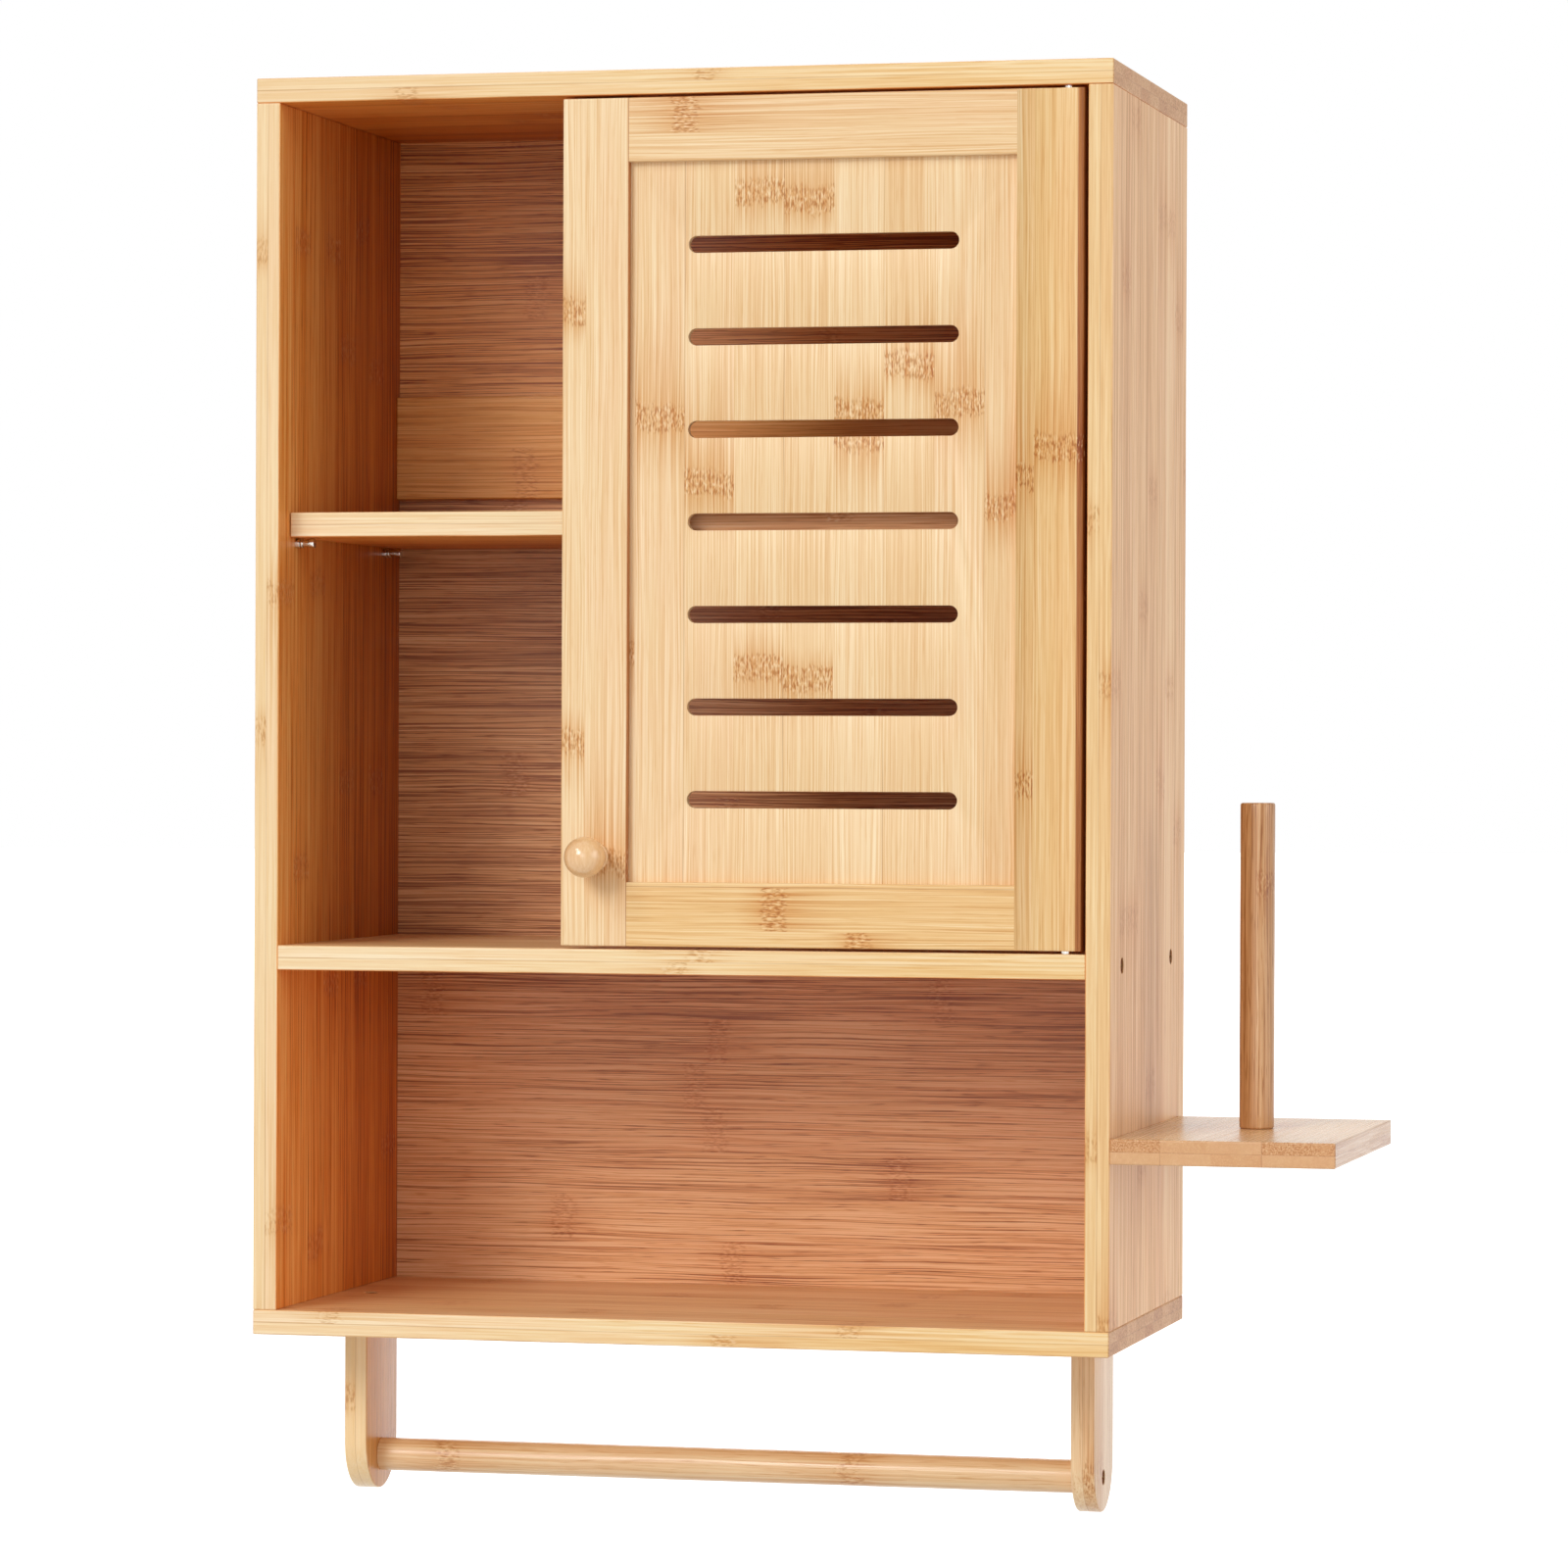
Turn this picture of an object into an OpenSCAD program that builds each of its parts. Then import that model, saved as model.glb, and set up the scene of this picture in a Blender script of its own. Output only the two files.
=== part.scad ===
// Bamboo wall cabinet with an inset slotted door, a towel bar below and a
// paper-roll holder on its right side. Millimetres, +Z up, front towards -Y.
// The origin lies on the wall plane, midway between the two wall screw holes.

/* [Cabinet body] */
// Width over the two sides
cabinet_width = 440; // [400:5:520]
// Height from the underside of the bottom panel to the top face
cabinet_height = 635; // [600:5:720]
// Depth from the front edges to the wall
cabinet_depth = 210; // [190:5:260]
// Thickness of the carcass boards, of the door frame and of the shelves
board_t = 12.5; // [11:0.5:14]
// Radius that eases the edges of the boards
edge_round = 0.8; // [0.4:0.1:1.2]

/* [Shelves] */
// Clear height of the open compartment at the bottom
bay_height = 172; // [140:2:200]
// Gap between the loose shelf and the hanging rail above it
loose_shelf_drop = 14.2; // [13:0.2:40]
// Gap between the loose shelf's front edge and the heel of the swinging door
loose_shelf_setback = 0.5; // [0.4:0.1:8]
// Gap between the loose shelf and each side
loose_shelf_gap = 0.6; // [0.4:0.1:1.5]
// Gap between the loose shelf's rear edge and the back panel
loose_shelf_rear_gap = 2; // [0.5:0.5:8]
// Diameter of the metal shelf studs
stud_d = 5; // [4:0.5:6]
// How far a stud stands out of the side
stud_reach = 10; // [8:0.5:12]
// How deep a stud sits in the side
stud_seat = 8; // [6:0.5:9]
// Distance of the front studs behind the loose shelf's front edge
stud_front_inset = 11.5; // [8:0.5:30]
// Distance of the rear studs before the loose shelf's rear edge
stud_rear_inset = 26; // [15:1:40]

/* [Back and wall fixing] */
// Height of the wall screw holes above the underside of the cabinet
hanging_height = 458; // [440:2:480]
// Height of the hanging rail
rail_height = 55; // [45:1:65]
// Distance between the two wall screw holes
wall_hole_spacing = 210; // [160:10:300]
// Diameter of the wall screw holes
wall_hole_d = 5.5; // [4:0.5:7]
// Diameter of the countersink at the front of a wall screw hole
wall_sink_d = 11; // [9:0.5:13]
// Thickness of the back panels
back_t = 4; // [3:0.5:5]
// Wood left between the back panels and the wall
back_inset = 3; // [2.5:0.5:4]
// Depth of the grooves that hold the back panels
back_groove = 5; // [4:0.5:6]
// Diameter of the wooden dowels at the ends of the hanging rail
rail_dowel_d = 6; // [5:0.5:7]
// Length of those dowels
rail_dowel_length = 24; // [20:1:30]
// How deep those dowels sit in the sides
rail_dowel_seat = 8; // [6:0.5:9]
// Height of a rail dowel above or below the middle of the rail
rail_dowel_offset = 12; // [8:1:13]

/* [Door] */
// Width of the door
door_width = 265; // [240:5:300]
// Gap above, below and beside the door
door_gap = 1.5; // [1.2:0.1:2.5]
// Width of the two stiles
stile_w = 34; // [30:1:40]
// Height of the top and bottom rails of the door
door_rail_h = 32; // [28:1:40]
// How far the slotted panel lies behind the frame's face
panel_recess = 4.5; // [3:0.5:5]
// Thickness of the slotted panel
panel_t = 4.5; // [3.5:0.5:5]
// Depth of the groove that holds the slotted panel
panel_groove = 6; // [5:0.5:8]
// Radius of the rounded edges on the pivot side
pivot_edge_round = 4; // [4:0.25:5]
// Number of slots in the panel
slot_count = 7; // [3:1:7]
// Distance between the slots
slot_pitch = 46; // [36:1:47]
// Length of a slot over its round ends
slot_length = 137.5; // [90:2.5:140]
// Height of a slot
slot_height = 8.5; // [6:0.5:12]

/* [Door pivots] */
// Distance of the pivot axis from the door's right edge
pivot_inset = 9.3; // [8.8:0.1:12]
// Diameter of the steel pivot pins
pivot_pin_d = 4; // [3:0.5:4.5]
// How deep a pin sits in the top panel or the fixed shelf
pivot_pin_seat = 9; // [7:0.5:10]
// How far a pin reaches into the door
pivot_pin_reach = 12; // [8:1:16]
// Wall thickness of the plastic pivot bushes
bush_wall = 1.4; // [1:0.1:1.6]
// Diameter of the collar on a pivot pin
pin_collar_d = 5.5; // [5:0.5:6.5]

/* [Knob] */
// Diameter of the knob's ball
knob_ball_d = 20.4; // [16:0.4:24]
// Distance of the ball's centre from the face of the door
knob_ball_reach = 16.5; // [15:0.5:20]
// Diameter of the knob's neck
knob_neck_d = 11; // [9:0.5:13]
// Diameter of the knob's foot
knob_foot_d = 16; // [14:0.5:20]
// Thickness of the knob's foot
knob_foot_t = 3; // [2:0.5:4]
// Height of the knob's centre above the door's lower edge
knob_height = 44.5; // [40:0.5:120]

/* [Magnetic catch] */
// Width of the catch housing over its two ears
catch_width = 32; // [28:1:33]
// Depth of the catch housing
catch_depth = 15; // [13:1:18]
// Height of the catch housing
catch_height = 13; // [12:0.5:16]
// Thickness of the ears
catch_ear_t = 3; // [2:0.5:3.5]
// Width of the steel strike plate on the door
strike_width = 26; // [20:1:28]
// Height of the strike plate
strike_height = 10; // [8:0.5:11]
// Thickness of the strike plate
strike_t = 1.2; // [0.8:0.1:1.5]

/* [Towel bar] */
// Thickness of the towel bar brackets
bracket_t = 12; // [10:0.5:15]
// Depth of a bracket, from front to rear
bracket_depth = 52.5; // [40:0.5:60]
// How far the brackets hang below the cabinet
bracket_drop = 89; // [75:1:110]
// Distance of a bracket from the outer face of the side
bracket_inset = 22.5; // [15:0.5:40]
// Distance of the brackets behind the cabinet's front
bracket_setback = 81.5; // [60:0.5:100]
// Diameter of the towel rod
rod_d = 17; // [14:0.5:20]
// Height of the rod's axis above the lowest point of the brackets
rod_axis_height = 17.5; // [14:0.5:24]

/* [Paper-roll holder] */
// How far the holder board stands out from the side
holder_reach = 111; // [95:1:130]
// Distance of the holder board's rear edge from the wall
holder_wall_gap = 14; // [4:1:40]
// Height of the holder board's underside above the underside of the cabinet
holder_height = 94.5; // [40:0.5:120]
// Distance of the holder's screws from the board's front and rear edges
holder_screw_inset = 40; // [25:1:55]
// Diameter of the upright dowel
dowel_d = 17.5; // [14:0.5:20]
// Length of the upright dowel
dowel_length = 164; // [120:2:200]
// Radius around the top end of the dowel
dowel_round = 1.5; // [0.5:0.5:3]
// Distance of the dowel's axis from the outer face of the side
dowel_reach = 55.5; // [45:0.5:65]
// Distance of the dowel's axis behind the cabinet's front
dowel_setback = 105.5; // [80:0.5:120]

/* [Screws] */
// Diameter of the countersunk screw heads
screw_head_d = 8; // [7:0.5:9]
// Diameter of the screw shanks
screw_d = 4; // [3.5:0.25:4.5]
// Length of the screws that join the boards
screw_length = 40; // [32:1:45]
// Length of the screws that hold the towel rod
rod_screw_length = 35; // [28:1:45]
// Distance of the front screws behind the cabinet's front
screw_front_inset = 32; // [20:1:55]
// Distance of the rear screws before the wall
screw_rear_inset = 40; // [25:1:60]

/* [Hidden] */

$fn = 40;
// Facets of the small eased edges, of the screws and of their holes
small_fn = 20;
// Overshoot of a cut past the face that it opens
cut = 1;
// Clearance around screws, dowels, studs and pins in their holes
hole_clear = 0.05;
// Clearance of the back panels in their grooves and behind the fixed shelf
back_clear = 0.1;
// Clearance of the slotted panel and of the rail tongues in their grooves
panel_clear = 0.1;
// Room left for the slotted panel to swell at the bottom of its grooves
panel_swell = 0.5;
// Running clearance of a pivot pin in its bush, on the radius
pivot_clear = 0.05;
// Gap between the collar of a pivot pin and the bush that turns on it
collar_clear = 0.1;
// Gap between the loose shelf and the studs that carry it
stud_lift = 0.3;

// Faces of the carcass
x_outer = cabinet_width / 2;
x_inner = x_outer - board_t;
y_front = -cabinet_depth;
z_under = -hanging_height;
z_top = z_under + cabinet_height;
z_floor = z_under + board_t;
z_ceiling = z_top - board_t;
z_shelf_under = z_floor + bay_height;
z_shelf_top = z_shelf_under + board_t;

// Back panels
y_back_front = -back_inset - back_t;
z_upper_room = rail_height / 2 - back_groove;
z_lower_room = z_floor - back_groove;

// Door
x_door_right = x_inner - door_gap;
x_door_left = x_door_right - door_width;
z_door_low = z_shelf_top + door_gap;
z_door_high = z_ceiling - door_gap;
y_door_rear = y_front + board_t;
door_height = z_door_high - z_door_low;
y_panel_front = y_front + panel_recess;
x_opening_left = x_door_left + stile_w;
x_opening_right = x_door_right - stile_w;
opening_width = x_opening_right - x_opening_left;
z_opening_low = z_door_low + door_rail_h;
z_opening_high = z_door_high - door_rail_h;
tongue = panel_groove - panel_clear;
panel_bite = panel_groove - panel_swell;

// Door pivots
x_pivot = x_door_right - pivot_inset;
y_pivot = y_front + board_t / 2;
bush_d = pivot_pin_d + 2 * (pivot_clear + bush_wall);
bush_length = pivot_pin_reach + 1;
heel_radius = norm([pivot_inset - pivot_edge_round, board_t / 2 - pivot_edge_round]) + pivot_edge_round;

// Loose shelf and its studs
y_loose_front = y_pivot + heel_radius + loose_shelf_setback;
y_loose_rear = y_back_front - loose_shelf_rear_gap;
z_loose_under = -rail_height / 2 - loose_shelf_drop - board_t;
z_stud = z_loose_under - stud_lift - stud_d / 2;
stud_ys = [y_loose_front + stud_front_inset, y_loose_rear - stud_rear_inset];
stud_groove_depth = 0.75;
stud_collar_t = 2.3;
stud_ring_t = 0.8;
stud_end_t = 2.6;
stud_flank = 0.7;
stud_bevel = 0.4;

// Knob
x_knob = x_door_left + stile_w / 2;
z_knob = z_door_low + knob_height;
knob_foot_edge = 1;
knob_screw_d = 4;
knob_screw_grip = 11;
knob_screw_head_d = 8.5;
knob_screw_head_t = 2.2;

// Magnetic catch, its parts counted from the poles at the strike plate
ear_width = 7.5;
catch_screw_d = 3;
catch_screw_head_d = 5.5;
catch_screw_length = 9;
magnet_height = 4;
pole_t = 1.2;
pole_proud = 0.5;
pole_depth = 9;
pole_gap = 0.2;
pocket_clear = 0.05;
catch_wall = 1.5;
magnet_width = catch_width - 2 * (ear_width + catch_wall);
pocket_height = magnet_height + 2 * pole_t + 2 * pocket_clear;
y_poles = y_door_rear + strike_t + pole_gap;
y_catch = y_poles + pole_proud;
z_ears = z_ceiling - catch_ear_t;
z_poles = z_ceiling - (catch_ear_t + catch_height) / 2;

// Towel bar
x_bracket = x_outer - bracket_inset - bracket_t / 2;
y_bracket = y_front + bracket_setback + bracket_depth / 2;
z_rod = z_under - bracket_drop + rod_axis_height;
rod_length = 2 * x_bracket - bracket_t;

// Paper-roll holder
holder_depth = cabinet_depth - holder_wall_gap;
x_dowel = x_outer + dowel_reach;
y_dowel = y_front + dowel_setback;
z_holder = z_under + holder_height;
holder_screw_ys = [y_front + holder_screw_inset, -holder_wall_gap - holder_screw_inset];

// Screws
screw_ys = [y_front + screw_front_inset, -screw_rear_inset];
screw_land = 0.4;
recess_width = 1.1;
recess_depth = 1.8;
recess_share = 0.56;

pale_bamboo = "#E9C68D";
side_bamboo = "#D9B088";
back_bamboo = "#B4764E";
turned_bamboo = "#D9A766";
steel = "#C9CBCE";
nylon = "#F2F2EE";

// A rectangle with rounded corners, its left and right corners each with their own radius
module eased_profile(width, depth, left_r, right_r) {
    translate([left_r, 0]) square([width - left_r - right_r, depth]);
    if (left_r > 0) {
        translate([0, left_r]) square([2 * left_r, depth - 2 * left_r]);
        corner_rounds(left_r, left_r, depth);
    }
    if (right_r > 0) {
        translate([width - 2 * right_r, right_r]) square([2 * right_r, depth - 2 * right_r]);
        corner_rounds(width - right_r, right_r, depth);
    }
}

// The two round corners at one end of that rectangle
module corner_rounds(x, radius, depth) {
    for (y = [radius, depth - radius]) {
        translate([x, y]) circle(r = radius, $fn = small_fn);
    }
}

// A board with eased edges, from the origin towards +X, +Y and +Z
module eased_board(size, left_r = edge_round, right_r = edge_round) {
    left_end = min(left_r, edge_round);
    right_end = min(right_r, edge_round);
    intersection() {
        linear_extrude(size[2]) eased_profile(size[0], size[1], left_r, right_r);
        translate([0, size[1], 0]) rotate([90, 0, 0]) linear_extrude(size[1])
            eased_profile(size[0], size[2], left_end, right_end);
        rotate([90, 0, 90]) linear_extrude(size[0])
            eased_profile(size[1], size[2], edge_round, edge_round);
    }
}

// Puts a tool on a face: it works along its own -Z, and here along the named direction
module aim(place, direction) {
    turn = direction == "up" ? [180, 0, 0]
         : direction == "left" ? [0, 90, 0]
         : direction == "right" ? [0, -90, 0]
         : direction == "forward" ? [-90, 0, 0]
         : direction == "back" ? [90, 0, 0]
         : [0, 0, 0];
    translate(place) rotate(turn) children();
}

// Places on the inner faces of the sides, pointing into the board
module into_side(side, y, z) {
    aim([side * x_inner, y, z], side > 0 ? "right" : "left") children();
}

// Countersunk screw, its head level with z = 0
module countersunk_screw(length = screw_length, head_d = screw_head_d, shank_d = screw_d) {
    head_r = head_d / 2;
    shank_r = shank_d / 2;
    neck = screw_land + head_r - shank_r;
    difference() {
        rotate_extrude($fn = small_fn) polygon([
            [0, 0], [head_r, 0], [head_r, -screw_land], [shank_r, -neck],
            [shank_r, -length + shank_d], [0, -length]
        ]);
        cross_recess(head_d * recess_share);
    }
}

// Hole for that screw
module screw_hole(length = screw_length, head_d = screw_head_d, shank_d = screw_d) {
    head_r = head_d / 2 + hole_clear;
    shank_r = shank_d / 2 + hole_clear;
    neck = screw_land + head_r - shank_r;
    rotate_extrude($fn = small_fn) polygon([
        [0, cut], [head_r, cut], [head_r, -screw_land], [shank_r, -neck],
        [shank_r, -length - hole_clear], [0, -length - hole_clear]
    ]);
}

// Cross-shaped driver recess, from z = 0 down
module cross_recess(span) {
    for (turn = [0, 90]) {
        rotate(turn) translate([-span / 2, -recess_width / 2, -recess_depth])
            cube([span, recess_width, recess_depth + cut]);
    }
}

// Round hole from z = 0 down
module round_hole(diameter, depth) {
    translate([0, 0, -depth - hole_clear])
        cylinder(d = diameter + 2 * hole_clear, h = depth + hole_clear + cut);
}

// Places of the screws, studs and dowels
module at_board_ends(z, direction) {
    for (side = [-1, 1], y = screw_ys) {
        aim([side * (x_outer - board_t / 2), y, z], direction) children();
    }
}

module at_fixed_shelf_screws() {
    for (side = [-1, 1], y = screw_ys) {
        aim([side * x_outer, y, z_shelf_under + board_t / 2], side > 0 ? "left" : "right")
            children();
    }
}

module at_studs() {
    for (side = [-1, 1], y = stud_ys) {
        into_side(side, y, z_stud) children();
    }
}

module at_rail_dowels() {
    for (side = [-1, 1], level = [-1, 1]) {
        into_side(side, -board_t / 2, level * rail_dowel_offset) children();
    }
}

module at_bracket_screws() {
    for (side = [-1, 1]) {
        aim([side * x_bracket, y_bracket, z_floor], "down") children();
    }
}

module at_rod_screws() {
    for (side = [-1, 1]) {
        aim([side * (x_bracket + bracket_t / 2), y_bracket, z_rod], side > 0 ? "left" : "right")
            children();
    }
}

module at_holder_screws() {
    for (y = holder_screw_ys) {
        aim([x_inner, y, z_holder + board_t / 2], "right") children();
    }
}

module at_holder_dowel_screw() {
    aim([x_dowel, y_dowel, z_holder], "up") children();
}

module at_catch_screws() {
    for (side = [-1, 1]) {
        aim([x_knob + side * (catch_width - ear_width) / 2, y_catch + catch_depth / 2, z_ears], "up")
            children();
    }
}

module at_strike_screw() {
    aim([x_knob, y_door_rear + strike_t, z_poles], "forward") children();
}

// Grooves that the two back panels share with the boards around them
module back_grooves() {
    reach = x_inner + back_groove;
    thickness = back_t + 2 * back_clear;
    translate([-reach, y_back_front - back_clear, z_upper_room])
        cube([2 * reach, thickness, z_ceiling + back_groove - z_upper_room]);
    translate([-reach, y_back_front - back_clear, z_lower_room])
        cube([2 * reach, thickness, -z_upper_room - z_lower_room]);
}

// Carcass boards
module top_panel() {
    color(pale_bamboo) difference() {
        translate([-x_outer, y_front, z_ceiling])
            eased_board([cabinet_width, cabinet_depth, board_t]);
        back_grooves();
        at_board_ends(z_top, "down") screw_hole();
        aim([x_pivot, y_pivot, z_ceiling], "up") round_hole(pivot_pin_d, pivot_pin_seat);
        at_catch_screws() small_hole();
    }
}

module bottom_panel() {
    color(pale_bamboo) difference() {
        translate([-x_outer, y_front, z_under])
            eased_board([cabinet_width, cabinet_depth, board_t]);
        back_grooves();
        at_board_ends(z_under, "up") screw_hole();
        at_bracket_screws() screw_hole();
    }
}

module side_board(x_low) {
    difference() {
        translate([x_low, y_front, z_floor])
            eased_board([board_t, cabinet_depth, z_ceiling - z_floor]);
        back_grooves();
        at_board_ends(z_top, "down") screw_hole();
        at_board_ends(z_under, "up") screw_hole();
        at_fixed_shelf_screws() screw_hole();
        at_studs() round_hole(stud_d, stud_seat);
        at_rail_dowels() round_hole(rail_dowel_d, rail_dowel_seat);
    }
}

module left_side() {
    color(side_bamboo) side_board(-x_outer);
}

module right_side() {
    color(side_bamboo) difference() {
        side_board(x_inner);
        at_holder_screws() screw_hole();
    }
}

module fixed_shelf() {
    color(pale_bamboo) difference() {
        translate([-x_inner, y_front, z_shelf_under])
            eased_board([2 * x_inner, y_back_front - back_clear - y_front, board_t]);
        at_fixed_shelf_screws() screw_hole();
        aim([x_pivot, y_pivot, z_shelf_top], "down") round_hole(pivot_pin_d, pivot_pin_seat);
    }
}

module loose_shelf() {
    half_width = x_inner - loose_shelf_gap;
    color(pale_bamboo) translate([-half_width, y_loose_front, z_loose_under])
        eased_board([2 * half_width, y_loose_rear - y_loose_front, board_t]);
}

// Turned stud: a collar at the side, a ring between two grooves and a thicker end
module stud() {
    full_r = stud_d / 2;
    groove_r = full_r - stud_groove_depth;
    ring_low = stud_collar_t + stud_flank;
    ring_high = ring_low + stud_ring_t;
    end_low = stud_reach - stud_end_t;
    rotate_extrude($fn = small_fn) polygon([
        [0, -stud_seat], [full_r - stud_bevel, -stud_seat], [full_r, -stud_seat + stud_bevel],
        [full_r, stud_collar_t], [groove_r, stud_collar_t + stud_flank / 2], [full_r, ring_low],
        [full_r, ring_high], [groove_r, ring_high + stud_flank / 2],
        [groove_r, end_low - stud_flank], [full_r, end_low],
        [full_r, stud_reach - stud_bevel], [full_r - stud_bevel, stud_reach], [0, stud_reach]
    ]);
}

module shelf_studs() {
    color(steel) at_studs() stud();
}

// Hanging rail and back
module hanging_rail() {
    color(back_bamboo) difference() {
        translate([-x_inner, -board_t, -rail_height / 2])
            eased_board([2 * x_inner, board_t, rail_height]);
        back_grooves();
        for (side = [-1, 1]) {
            translate([side * wall_hole_spacing / 2, 0, 0]) wall_hole();
        }
        at_rail_dowels() mirror([0, 0, 1])
            round_hole(rail_dowel_d, rail_dowel_length - rail_dowel_seat);
    }
}

module wall_hole() {
    sink_t = (wall_sink_d - wall_hole_d) / 2;
    translate([0, cut, 0]) rotate([90, 0, 0]) cylinder(d = wall_hole_d, h = board_t + 2 * cut);
    aim([0, -board_t, 0], "back") rotate_extrude() polygon([
        [0, -sink_t], [wall_hole_d / 2, -sink_t], [wall_sink_d / 2, 0],
        [wall_sink_d / 2, cut], [0, cut]
    ]);
}

module rail_dowels() {
    color(turned_bamboo) at_rail_dowels() translate([0, 0, -rail_dowel_seat])
        cylinder(d = rail_dowel_d, h = rail_dowel_length);
}

module back_sheet(z_low, z_high) {
    reach = x_inner + back_groove - back_clear;
    color(back_bamboo) translate([-reach, y_back_front, z_low + back_clear])
        cube([2 * reach, back_t, z_high - z_low - 2 * back_clear]);
}

module upper_back_panel() {
    back_sheet(z_upper_room, z_ceiling + back_groove);
}

module lower_back_panel() {
    back_sheet(z_lower_room, -z_upper_room);
}

// Screws of the carcass
module top_panel_screws() {
    color(steel) at_board_ends(z_top, "down") countersunk_screw();
}

module bottom_panel_screws() {
    color(steel) at_board_ends(z_under, "up") countersunk_screw();
}

module fixed_shelf_screws() {
    color(steel) at_fixed_shelf_screws() countersunk_screw();
}

// Door frame
module door_left_stile() {
    color(pale_bamboo) difference() {
        translate([x_door_left, y_front, z_door_low])
            eased_board([stile_w, board_t, door_height], edge_round, 0);
        stile_groove(x_opening_left - panel_groove);
        aim([x_knob, y_door_rear, z_knob], "forward") round_hole(knob_screw_d, board_t + cut);
        at_strike_screw() small_hole();
    }
}

module door_right_stile() {
    color(pale_bamboo) difference() {
        translate([x_opening_right, y_front, z_door_low])
            eased_board([stile_w, board_t, door_height], 0, pivot_edge_round);
        stile_groove(x_opening_right - cut);
        aim([x_pivot, y_pivot, z_door_high], "down") round_hole(bush_d, bush_length);
        aim([x_pivot, y_pivot, z_door_low], "up") round_hole(bush_d, bush_length);
    }
}

module stile_groove(x_low) {
    translate([x_low, y_panel_front - panel_clear, z_door_low - cut])
        cube([panel_groove + cut, panel_t + 2 * panel_clear, door_height + 2 * cut]);
}

// Cross rail with a tongue at each end and a groove towards the slotted panel
module door_rail(z_low, z_groove) {
    wide = opening_width + 2 * tongue;
    color(pale_bamboo) difference() {
        union() {
            translate([x_opening_left, y_front, z_low])
                eased_board([opening_width, board_t, door_rail_h], 0, 0);
            translate([x_opening_left - tongue, y_panel_front, z_low])
                cube([wide, panel_t, door_rail_h]);
        }
        translate([x_opening_left - tongue - cut, y_panel_front - panel_clear, z_groove])
            cube([wide + 2 * cut, panel_t + 2 * panel_clear, panel_groove + cut]);
    }
}

module door_top_rail() {
    door_rail(z_opening_high, z_opening_high - cut);
}

module door_bottom_rail() {
    door_rail(z_door_low, z_opening_low - panel_groove);
}

module door_slotted_panel() {
    low_x = x_opening_left - panel_bite;
    low_z = z_opening_low - panel_bite;
    middle_x = (x_opening_left + x_opening_right) / 2;
    middle_z = (z_opening_low + z_opening_high) / 2;
    color(pale_bamboo) difference() {
        translate([low_x, y_panel_front, low_z])
            cube([opening_width + 2 * panel_bite, panel_t, z_opening_high + panel_bite - low_z]);
        for (i = [0:slot_count - 1]) {
            translate([middle_x, y_panel_front, middle_z + (i - (slot_count - 1) / 2) * slot_pitch])
                slot();
        }
    }
}

module slot() {
    straight = slot_length - slot_height;
    translate([0, panel_t + cut, 0]) rotate([90, 0, 0]) {
        translate([-straight / 2, -slot_height / 2, 0])
            cube([straight, slot_height, panel_t + 2 * cut]);
        for (end = [-1, 1]) {
            translate([end * straight / 2, 0, 0])
                cylinder(d = slot_height, h = panel_t + 2 * cut);
        }
    }
}

// Turned knob with a foot, a neck and a ball, held by a screw from behind the door
module door_knob() {
    foot_r = knob_foot_d / 2;
    color(turned_bamboo) aim([x_knob, y_front, z_knob], "back") difference() {
        union() {
            rotate_extrude() polygon([
                [0, 0], [foot_r, 0], [foot_r, knob_foot_t - knob_foot_edge],
                [foot_r - knob_foot_edge, knob_foot_t], [0, knob_foot_t]
            ]);
            cylinder(d = knob_neck_d, h = knob_ball_reach);
            translate([0, 0, knob_ball_reach]) sphere(d = knob_ball_d);
        }
        mirror([0, 0, 1]) round_hole(knob_screw_d, knob_screw_grip);
    }
}

module knob_screw() {
    color(steel) aim([x_knob, y_door_rear, z_knob], "forward") difference() {
        union() {
            translate([0, 0, -board_t - knob_screw_grip])
                cylinder(d = knob_screw_d, h = board_t + knob_screw_grip);
            cylinder(d = knob_screw_head_d, h = knob_screw_head_t);
        }
        translate([0, 0, knob_screw_head_t]) cross_recess(knob_screw_head_d * recess_share);
    }
}

// Pivot pin with a collar, its seat below z = 0
module pivot_pin() {
    color(steel) {
        translate([0, 0, -pivot_pin_seat])
            cylinder(d = pivot_pin_d, h = pivot_pin_seat + door_gap + pivot_pin_reach);
        cylinder(d = pin_collar_d, h = door_gap - collar_clear);
    }
}

module upper_pivot_pin() {
    aim([x_pivot, y_pivot, z_ceiling], "up") pivot_pin();
}

module lower_pivot_pin() {
    aim([x_pivot, y_pivot, z_shelf_top], "down") pivot_pin();
}

// Bush that turns on a pivot pin, from z = 0 down
module pivot_bush() {
    color(nylon) difference() {
        translate([0, 0, -bush_length]) cylinder(d = bush_d, h = bush_length);
        translate([0, 0, -bush_length - cut])
            cylinder(d = pivot_pin_d + 2 * pivot_clear, h = bush_length + 2 * cut);
    }
}

module upper_pivot_bush() {
    aim([x_pivot, y_pivot, z_door_high], "down") pivot_bush();
}

module lower_pivot_bush() {
    aim([x_pivot, y_pivot, z_door_low], "up") pivot_bush();
}

// Magnetic catch under the top panel, behind the door's upper left corner
module small_hole() {
    screw_hole(catch_screw_length, catch_screw_head_d, catch_screw_d);
}

module small_screw() {
    countersunk_screw(catch_screw_length, catch_screw_head_d, catch_screw_d);
}

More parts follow.
